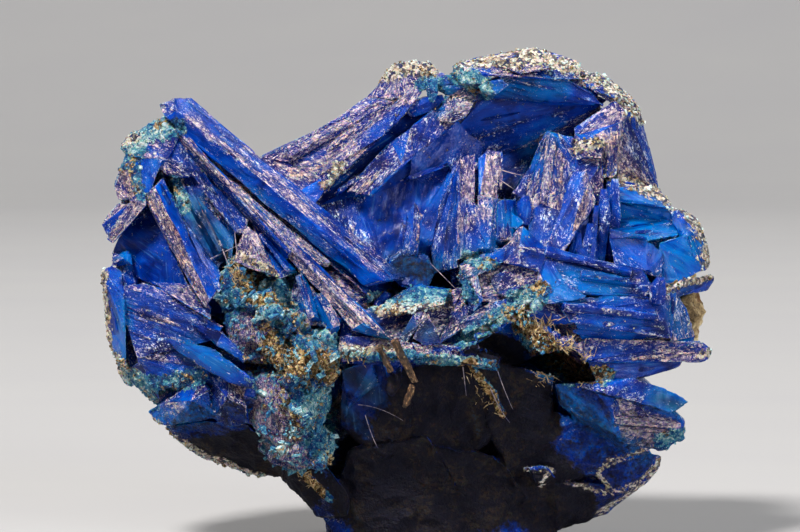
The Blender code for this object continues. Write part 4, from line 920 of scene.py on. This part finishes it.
chance = random.Random(3)
carrying = (facet_area[label] > 5) & (flat_normal @ np.array(sight) < 0.2)
carrying &= (crust[faces].max(axis=1) < 0.2) & (dark[faces].max(axis=1) < 0.2) & ~hidden[faces].any(axis=1)
weight = carrying * (0.08 + facet_frost[label]) * np.linalg.norm(face_normals(points, faces), axis=1)
rows = np.random.default_rng(23).choice(len(faces), RIBS, replace=False, p=weight / weight.sum())
middle_tree = tree_of(middle)
parts, lies, frosts, tones = [], [], [], []
for row in rows:
    facet = label[row]
    length, wide, high = (chance.uniform(*size) for size in (RIB_LONG, RIB_WIDE, RIB_HIGH))
    while length > RIB_SHORTEST and any(
            label[middle_tree.find(middle[row] + facet_axis[facet] * length * end
                                   + facet_side[facet] * wide * side)[1]] != facet
            for end in (-0.5, 0.5) for side in (-0.5, 0.5)):
        length *= 0.8
    if length <= RIB_SHORTEST:
        continue
    form, corners = rib(length, wide, high, chance)
    form_axes = np.stack([facet_axis[facet], facet_side[facet], facet_normal[facet]])
    parts.append((form @ form_axes + middle[row], corners))
    lies.append((form * DRAWN_OUT + facet * 3.7)[corners])
    frosts.append(np.full(corners.size, min(facet_frost[facet] + 0.1, 1)))
    tones.append(np.full(corners.size, chance.random()))
rib_points, rib_faces = joined(parts)
ribs = mesh_piece("blade_ribs", rib_points, rib_faces, blue, {"lie": np.vstack(lies), **masks_for(
    rib_faces.size, frost=np.concatenate(frosts), tone=np.concatenate(tones))})

# ---------------------------------------------------------------- small blades in the slots
# Short blades that have grown up between their larger neighbours and wedge the slots there.

skin_tree = BVHTree.FromPolygons([Vector(point) for point in points], faces.tolist())


def level_at(across, up):
    """The place in mm of a point of the elevation, as deep as the specimen's middle."""
    return SIGHT_CENTRE + Vector((across - SIGHT_MIDDLE[0], 0, 0)) + upward * (up - SIGHT_MIDDLE[1])


def skin_at(across, up):
    """The nearest place on the crystals at a point of the elevation, in mm."""
    return skin_tree.ray_cast(eye, (level_at(across, up) - eye).normalized())[0]


# (foot, head, width): places as mm across and up
SLOT_BLADES = [
    ((30.0, 43.0), (30.4, 55.0), 2.6), ((27.0, 42.6), (27.0, 48.6), 2.4),
    ((36.4, 36.6), (37.0, 40.8), 2.8), ((28.5, 42.6), (29.0, 53.6), 2.2), ((24.4, 43.2), (25.0, 47.4), 2.0),
    ((17.0, 48.0), (17.8, 52.6), 2.4), ((-4.6, 35.4), (-2.8, 38.4), 2.6), ((9.4, 35.0), (10.6, 38.6), 2.4),
    ((0.0, 64.4), (5.4, 66.8), 2.6), ((23.0, 46.6), (23.4, 51.0), 2.0),
]
chance = random.Random(12)
parts, lies = [], []
for foot, head, wide in SLOT_BLADES:
    sides = [skin_at((foot[0] + head[0]) / 2 + shift, (foot[1] + head[1]) / 2) for shift in (-wide, wide)]
    depth = min(side.y for side in sides if side)
    low = Vector((foot[0] - SIGHT_MIDDLE[0] + SIGHT_CENTRE.x, depth + 2.0, foot[1]))
    high = Vector((head[0] - SIGHT_MIDDLE[0] + SIGHT_CENTRE.x, depth + 1.4, head[1]))
    way = (high - low).normalized()
    side_way = way.cross(Vector((0, -1, 0))).normalized()
    out_way = side_way.cross(way)
    form, corners = rib((high - low).length, wide, wide * 0.5, chance)
    form_axes = np.array([way, side_way, -out_way if out_way.y > 0 else out_way])
    if np.linalg.det(form_axes) < 0:
        form_axes[1] *= -1
    lies.append((form * DRAWN_OUT + sum(len(part) for part, _ in parts))[corners])
    parts.append((form @ form_axes + np.array((low + high) / 2), corners))
blade_points, blade_faces = joined(parts)
slot_blades = mesh_piece("slot_blades", blade_points, blade_faces, blue, {
    "lie": np.vstack(lies), **masks_for(blade_faces.size, frost=0.35, tone=0.5)})

# ---------------------------------------------------------------- the matrix rock
# The loose piece of brown, weathered rock that the crystals grew on. It is cemented to their
# back, and shows as a tan rind at the right edge and as the whole rough back of the specimen.

ROCK_SIDE, ROCK_HIDDEN_SIDE = 0.75, 3.0  # mm, longest triangle side where it shows and where not
ROCK_SWELL, ROCK_LEDGE, ROCK_CRAG, ROCK_CREST = 1.0, 0.45, 0.7, 0.4  # mm, heights of its relief
ROCK_GRAIN, ROCK_PIT, ROCK_SUNK, ROCK_FOOT = 0.4, 1.6, 1.2, 0.6
TUCKED = 0.1  # mm, how far hidden faces draw back from what they touch


def skinned(node, fine, hidden_side):
    """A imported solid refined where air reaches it: points, triangles, and which points are hidden."""
    points, faces, label = solid_arrays(node)
    points, faces, label, _ = refine(points, faces, label, np.full(len(faces), hidden_side))
    air = openness(points, faces)
    points, faces, _, longest = refine(points, faces, label, np.where(air <= SEALED, hidden_side, fine))
    hidden = np.ones(len(points), bool)
    hidden[faces[longest == fine].ravel()] = False
    return points, faces, hidden


# scattered flecks: a mask of flecks at two sizes
group, vector, scale, cover = start_group("speckle", Scale=2.0, Cover=0.5)
low = 0.98 - cover * 0.6
flecks = step_of(noise(vector, scale, 3, 0.65), low, low + 0.09)
speckle = end_group(group, Mask=flecks)

# weathered country rock: tan to dark brown grains with rusty stains and pale specks
rock_stone, tree, shader = new_material("matrix_rock")
place = millimetres(tree)
grain = use_group(grains, Vector=place, Scale=1.0)
colour = ramp(grain["Value"] * 0.42 + noise(place, 0.12, 5, 0.6) * 1.1,
              (0.50, (0.022, 0.014, 0.007)), (0.64, (0.15, 0.092, 0.037)),
              (0.77, (0.46, 0.315, 0.135)), (0.94, (0.90, 0.73, 0.42)))
colour = mixed(step_of(noise(place, 0.3, 3), 0.56, 0.70), colour, (0.20, 0.07, 0.02))
speck = use_group(speckle, Vector=place, Scale=2.4, Cover=0.60)
colour = mixed(speck["Mask"] * 0.7, colour, (0.66, 0.60, 0.48))
finish_material(shader, colour, grain["Value"] * 0.2 + 0.7, grain["Height"], strength=0.9, deep=0.0005)

rock_points, rock_faces, rock_hidden = skinned("matrix_rock", ROCK_SIDE, ROCK_HIDDEN_SIDE)
resting = rock_points[:, 2] < ROCK_FOOT
rock_points = relax(rock_points, rock_faces, (~rock_hidden & ~resting).astype(float), ROUNDING)
rock_height = rough(rock_points, 9.0, 101) * ROCK_SWELL
rock_height += stairs(rough(rock_points, 5.0, 103, 3) * 3.0, 0.2) * ROCK_LEDGE
rock_height += crumpled(rock_points, 4.0, 107) * ROCK_CRAG + crumpled(rock_points, 1.7, 111) * ROCK_CREST
rock_height += rough(rock_points, 1.8, 109, 2) * ROCK_GRAIN - ROCK_SUNK
rock_height -= np.clip(rough(rock_points, 2.6, 113, 2) - 0.25, 0, 1) * ROCK_PIT
rock_height[rock_hidden] = -TUCKED
rock_height[resting] = 0
rock_points += vertex_normals(rock_points, rock_faces) * rock_height[:, None]
rock = mesh_piece("weathered_rock", rock_points, rock_faces, rock_stone)
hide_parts("matrix_rock")

# ---------------------------------------------------------------- the green crust
# Copper salts and rock crumbs cemented together in the hollow below the left blades: rounded
# teal lumps set with small pale crystals, tan grains and brown flakes.

CRUST_SIDE, CRUST_HIDDEN_SIDE = 0.5, 2.4  # mm, longest triangle side where it shows and where not
BLOCK_CRAG, BLOCK_CREST, BLOCK_GRAIN, BLOCK_SUNK = 0.9, 0.4, 0.15, 0.6  # mm, heights of its relief
# where the block isn't all salts: frosted blue shows through at its foot and at its left
BARE_ZONES = [
    (6, (-22, 21), (-18, 12)), (3, (-24, 32), (-23, 28)), (3, (-16, 8), (-10, 4)),
    (2, (-12, 38), (-10, 32)),
]
BLOCK_MINT_ZONES = [(3, (-13.6, 24), (-12, 12)), (3.4, (-18, 36), (-12, 32))]

crust_points, crust_faces, crust_hidden = skinned("green_crust", CRUST_SIDE, CRUST_HIDDEN_SIDE)
crust_points = relax(crust_points, crust_faces, (~crust_hidden).astype(float), 6)
upright = crust_points * (1, 1, 0.6)
crust_height = crumpled(upright, 3.4, 121) * BLOCK_CRAG + crumpled(upright, 1.3, 123) * BLOCK_CREST
crust_height += rough(crust_points, 1.0, 125, 2) * BLOCK_GRAIN - BLOCK_SUNK
crust_height[crust_hidden] = -TUCKED
crust_points += vertex_normals(crust_points, crust_faces) * crust_height[:, None]
block_across, block_up = elevation(crust_points)
block_across += rough(crust_points, 5.0, 3) * 1.2
block_up += rough(crust_points, 5.0, 9) * 1.2
bare = zone(block_across, block_up, BARE_ZONES, blur=0.6)
stained = np.clip(0.04 + zone(block_across, block_up, TAN_ZONES, blur=0.7) * 0.75, 0, 1)
masks = masks_for(
    len(crust_points), crust=1 - 0.72 * bare, frost=0.5 + 0.6 * bare, tan=stained, tone=0.5,
    mint=zone(block_across, block_up, BLOCK_MINT_ZONES, blur=0.7) * 0.7,
    teal=zone(block_across, block_up, TEAL_ZONES, blur=0.8))
crust_piece = mesh_piece("crumbly_crust", crust_points, crust_faces, blue, {
    "lie": crust_points[crust_faces], **{name: value[crust_faces] for name, value in masks.items()}})
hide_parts("green_crust")

# ---------------------------------------------------------------- grains on crust and rim
# Loose-looking grains that have grown fast to the crusted places: blunt crystals of pale and
# teal salts, a few of them tan, each bedded in the crust by about half.


def salt_material(name, pale, tan):
    """Crumbly copper salts: pale is how far they run to mint and cream, tan how many are stained."""
    material, tree, shader = new_material(name)
    salts = use_group(mixed_salts, Vector=millimetres(tree), Pale=pale, Tan=tan)
    finish_material(shader, salts["Color"], salts["Height"] * 0.2 + 0.3, salts["Height"],
                    strength=0.9, deep=0.0004)
    shader.inputs["Specular IOR Level"].default_value = 0.35
    shader.inputs["Subsurface Weight"].default_value = 0.15
    shader.inputs["Subsurface Radius"].default_value = (0.3, 0.8, 0.9)
    shader.inputs["Subsurface Scale"].default_value = 0.001
    return material


def pebble(chance, points=9):
    """A small angular grain about one unit in radius."""
    mesh = bmesh.new()
    for i in range(points):
        up = 1 - 2 * (i + 0.5) / points
        ring = math.sqrt(1 - up * up)
        around = i * 2.4 + chance.uniform(-0.4, 0.4)
        size = chance.uniform(0.75, 1.1)
        mesh.verts.new((ring * math.cos(around) * size, ring * math.sin(around) * size, up * size))
    return hull_arrays(mesh)


def tablet(chance):
    """A small slanted crystal, three units long."""
    mesh = bmesh.new()
    skew, wide = chance.uniform(-0.5, 0.5), chance.uniform(0.5, 0.8)
    for x, y, z in itertools.product((-1, 1), repeat=3):
        blunt = 0.75 if x == y else 1.0
        mesh.verts.new((x * wide * blunt, y * 0.45 * blunt, z * 1.5 + skew * x))
    return hull_arrays(mesh)


chance = random.Random(7)
pebbles = [pebble(chance) for _ in range(9)]
tablets = [tablet(chance) for _ in range(7)]
crystal_skin = points, vertex_normals(points, faces)
crust_skin = crust_points, vertex_normals(crust_points, crust_faces)

# (piece, its material, pale, tan, slot, forms, what carries them, where on it, how many, seed,
# mean and spread of log size in mm, largest, lean)
for name, salt, pale, stain, slot, forms, skin, where, count, seed, size, spread, largest, lean in (
        ("crust_grains", "pale_salts", 0.6, 0.25, "chalcanthite", pebbles, crystal_skin,
         crust * ~hidden * (crust > 0.45) * (1 - dark), 2600, 11, -1.85, 0.5, 0.5, 0.5),
        ("rim_grains", "rim_salts", 2.2, 0.5, "chalcanthite", pebbles, crystal_skin,
         chalk * ~hidden * (chalk > 0.4), 1800, 13, -1.8, 0.5, 0.5, 0.5),
        ("crust_crumbs", "tan_crumbs", 0.5, 1.0, "green_crust", pebbles, crust_skin,
         ~crust_hidden * (0.08 + stained) * (1 - 0.8 * bare), 1100, 17, -1.8, 0.5, 0.5, 0.5),
        ("small_crystals", "green_crystal", 0.4, 0.1, "green_crust", tablets, crust_skin,
         (~crust_hidden).astype(float), 700, 19, -1.2, 0.45, 0.8, 0.9)):
    draw = np.random.default_rng(seed)
    spots = draw.choice(len(where), count, replace=False, p=where / where.sum())
    sizes = [min(chance.lognormvariate(size, spread), largest) for _ in spots]
    parts = []
    for place, lift, grown in zip(skin[0][spots], skin[1][spots], sizes):
        form, corners = forms[chance.randrange(len(forms))]
        stray = Vector([chance.gauss(0, lean) for _ in range(3)])
        turn = (Vector(lift) + stray).to_track_quat("Z", "Y").to_matrix()
        turn = turn @ Matrix.Rotation(chance.uniform(0, math.tau), 3, "Z")
        stretch = np.array([chance.uniform(0.75, 1.25) for _ in range(3)]) * grown
        parts.append(((form * stretch) @ np.array(turn).T + place, corners))
    piece = mesh_piece(name, *joined(parts), salt_material(salt, pale, stain))

# ---------------------------------------------------------------- fibres and needles
# Hair-thin crystals: pale needles bridging the hollows, a golden tuft by the right opening,
# and drooping threads under the ledge. Each is a tapered rod rooted in what it grows from.

ROOTED = 0.4  # mm, how deep a fibre's foot stands in what carries it
NEEDLE_GIRTH, FIBRE_GIRTH = (0.06, 0.11), (0.06, 0.13)  # mm, least and most radius


def place_at(across, up, depth):
    """The real place in mm of a point of the elevation at this depth."""
    level = level_at(across, up)
    share = (depth + SIGHT_CENTRE.y - eye.y) / (level.y - eye.y)
    return eye.lerp(level, share)


def thread(stops, radius, sides=5, steps=7):
    """A tapered rod along a smooth bend through three places: arrays."""
    a, b, c = (Vector(stop) for stop in stops)
    rings, faces = [], []
    for i in range(steps + 1):
        t = i / steps
        here = a * (1 - t) ** 2 + b * 2 * t * (1 - t) + c * t ** 2
        way = ((b - a) * (1 - t) + (c - b) * t).normalized()
        side = way.cross(Vector((0.3, 0.9, 0.2))).normalized()
        other = way.cross(side)
        girth = radius * (1 - 0.75 * t)
        for k in range(sides):
            turn = math.tau * k / sides
            rings.append(here + (side * math.cos(turn) + other * math.sin(turn)) * girth)
    for i in range(steps):
        for k in range(sides):
            p, q = i * sides + k, i * sides + (k + 1) % sides
            faces += [(p, q, q + sides), (p, q + sides, p + sides)]
    for k in range(1, sides - 1):
        faces += [(0, k + 1, k), (steps * sides, steps * sides + k, steps * sides + k + 1)]
    return np.array(rings), np.array(faces)


def fibre_material(name, dark, light):
    """Silky fibres, mottled along their length."""
    material, tree, shader = new_material(name)
    mottle = noise(millimetres(tree), 1.5, 3)
    colour = ramp(mottle, (0.35, dark), (0.65, light))
    finish_material(shader, colour, mottle * 0.2 + 0.3, mottle, strength=1.0, deep=0.0001)
    return material


crust_tree = BVHTree.FromPolygons([Vector(point) for point in crust_points], crust_faces.tolist())


def root_at(across, up):
    """The nearest place on the crystals or the crust at a point of the elevation, in mm."""
    way = (place_at(across, up, 0) - eye).normalized()
    found = [tree.ray_cast(eye, way)[0] for tree in (skin_tree, crust_tree)]
    return min((spot for spot in found if spot), key=lambda spot: spot.y, default=None)


# (start, end, sag in mm), each place as mm across, up and deep
NEEDLES = [
    ((-0.6, 54.0, -6), (4.9, 55.9, -4.6), 0), ((-10.6, 52.2, -7.4), (-6.8, 54.8, -6), 0),
    ((13.6, 55.8, -9.4), (18.2, 54.6, -8.4), 0.2), ((13.4, 54.4, -10), (16.4, 52.4, -9.6), 0),
    ((-29.4, 42.2, -13.4), (-24.6, 44.6, -15.6), 0), ((-28, 44.6, -12.8), (-26, 39.6, -15.6), 0.3),
    ((-31, 47, -11), (-26.4, 43, -15), 0.2), ((-26, 47.4, -12.6), (-25.4, 41.8, -15.6), 0),
    ((-33.6, 53.4, -9.6), (-29.2, 45.4, -14.2), 0.1), ((-30.4, 50.4, -11), (-29.4, 44.2, -13.6), 0),
    ((-3.6, 33.2, -19), (4.8, 35.9, -18.9), -0.1), ((3.6, 41.4, -15), (7.6, 37.4, -18), 0),
]
DROOPS = [
    ((-10.3, 22.4, -13), (-10.1, 17.4, -15), 0.2), ((-7.2, 20.2, -13.2), (-0.6, 17.9, -15.4), -0.5),
    ((-6.2, 18.6, -13), (-4.4, 13.8, -15), 0.4), ((12.6, 22.6, -14.6), (15.4, 17.6, -15.4), 0.4),
    ((13.6, 25.4, -15), (15.9, 19.6, -15.8), 0.3), ((8.4, 25.8, -17), (8.9, 21.6, -16.6), 0),
]
parts = []
for start, end, sag in NEEDLES + DROOPS:
    a = root_at(*start[:2])
    c = place_at(*end[:2], a.y - SIGHT_CENTRE.y + (end[2] - start[2]) * 0.7)
    a -= (c - a).normalized() * ROOTED
    parts.append(thread((a, (a + c) / 2 - Vector((0, 0, sag * 2)), c), chance.uniform(*NEEDLE_GIRTH)))
needles = mesh_piece("needles", *joined(parts),
                     fibre_material("pale_needle", (0.05, 0.05, 0.14), (0.46, 0.38, 0.40)))

# golden fibres stand along these strands: (way they point, length, how many, places along it)
TUFTS = [
    ((-0.2, -0.5, 0.8), 2.2, 90, (17.1, 30.6), (18.9, 32), (21.2, 32.4), (24, 31)),
    ((0.5, -0.6, 0.4), 1.8, 80, (23.3, 29.6), (24.9, 27.8), (27.2, 26.7)),
    ((-0.5, -0.7, 0.1), 1.6, 60, (21.2, 26.7), (24.2, 25), (26.6, 23.7)),
    ((-0.2, -0.7, 0.6), 2.2, 40, (-25.8, 41), (-25, 38.6)),
    ((-0.1, -0.7, 0.7), 1.6, 60, (-13.8, 28), (-13.6, 24)),
    ((0, -0.7, 0.7), 1.4, 50, (-23, 29), (-19, 28.4), (-17, 26)),
    ((0, -0.7, 0.5), 1.2, 30, (-10, 27.4), (-6, 27.4)),
    ((0.1, -0.6, -0.6), 1.0, 26, (9.4, 25.4), (11, 22), (14.6, 18)),
    ((0.4, -0.6, -0.3), 1.5, 30, (19.6, 25.6), (21, 23.4)),
    ((0.2, -0.6, 0.6), 1.3, 24, (-16.4, 10.4), (-13, 7.4)),
]
DEEPEST_TUFT = -8  # mm, no fibre grows farther back in the hollows than this
parts = []
for way, length, count, *stops in TUFTS:
    for _ in range(count):
        share = chance.uniform(0, len(stops) - 1)
        first = min(int(share), len(stops) - 2)
        start = Vector(stops[first]).lerp(Vector(stops[first + 1]), share - first)
        start += Vector((chance.gauss(0, 0.6), chance.gauss(0, 0.6)))
        root = root_at(*start)
        if root is None or root.y > DEEPEST_TUFT:
            continue
        lean = Vector(way) + Vector([chance.gauss(0, 0.65) for _ in range(3)])
        tip = root + lean.normalized() * length * chance.uniform(0.3, 1.1)
        bend = (root + tip) / 2 + Vector([chance.gauss(0, 0.15) for _ in range(3)])
        root -= lean.normalized() * ROOTED
        parts.append(thread((root, bend, tip), chance.uniform(*FIBRE_GIRTH), sides=4, steps=4))
tufts = mesh_piece("golden_tufts", *joined(parts),
                   fibre_material("golden_fibre", (0.12, 0.06, 0.02), (0.62, 0.46, 0.24)))

# ---------------------------------------------------------------- the brown splinters
# Three woody brown rods stuck to the front of the ledge: split lengthwise, with grooves along
# them and tan, frayed edges.

SPLINTER_SIDE = 0.17  # mm, longest triangle side
SPLIT_DEEP, KNOT_HIGH = 0.16, 0.24  # mm, the grooves along the grain and the bumps across it

# split brown wood: darker grooves and tan ridges along the grain, partly the wood's own grain and partly
# painted shade and highlight, with stains and pale specks
brown, tree, shader = new_material("brown_splinter")
fibre = noise(attribute(tree, "lie", "Vector"), 3.2, 5, 0.65)
place = millimetres(tree)
colour = ramp(fibre, (0.38, (0.014, 0.006, 0.003)), (0.52, (0.10, 0.045, 0.018)),
              (0.63, (0.34, 0.19, 0.08)), (0.74, (0.70, 0.54, 0.34)))
colour = mixed(step_of(noise(place, 0.9, 3), 0.44, 0.56), colour, (0.022, 0.011, 0.006))
speck = use_group(speckle, Vector=place, Scale=2.6, Cover=0.60)
colour = mixed(speck["Mask"] * 0.6, colour, (0.50, 0.33, 0.15))
finish_material(shader, colour, fibre * 0.3 + 0.45, fibre, strength=0.9, deep=0.0003)

for number in (1, 2, 3):
    node = f"brown_splinter_{number}"
    own_points, own_faces, own_label = solid_arrays(node)
    axis = np.linalg.svd(own_points - own_points.mean(axis=0))[2][0]
    own_points, own_faces, _, _ = refine(own_points, own_faces, own_label,
                                         np.full(len(own_faces), SPLINTER_SIDE))
    own_lie = own_points - np.outer(own_points @ axis, axis) * 0.7
    groove = rough(own_lie, 0.5, 140 + number, 3) * SPLIT_DEEP
    groove += rough(own_points, 1.3, 150 + number, 3) * KNOT_HIGH
    own_points += vertex_normals(own_points, own_faces) * groove[:, None]
    piece = mesh_piece(f"splinter_{number}", own_points, own_faces, brown, {"lie": own_lie[own_faces]})
    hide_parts(node)
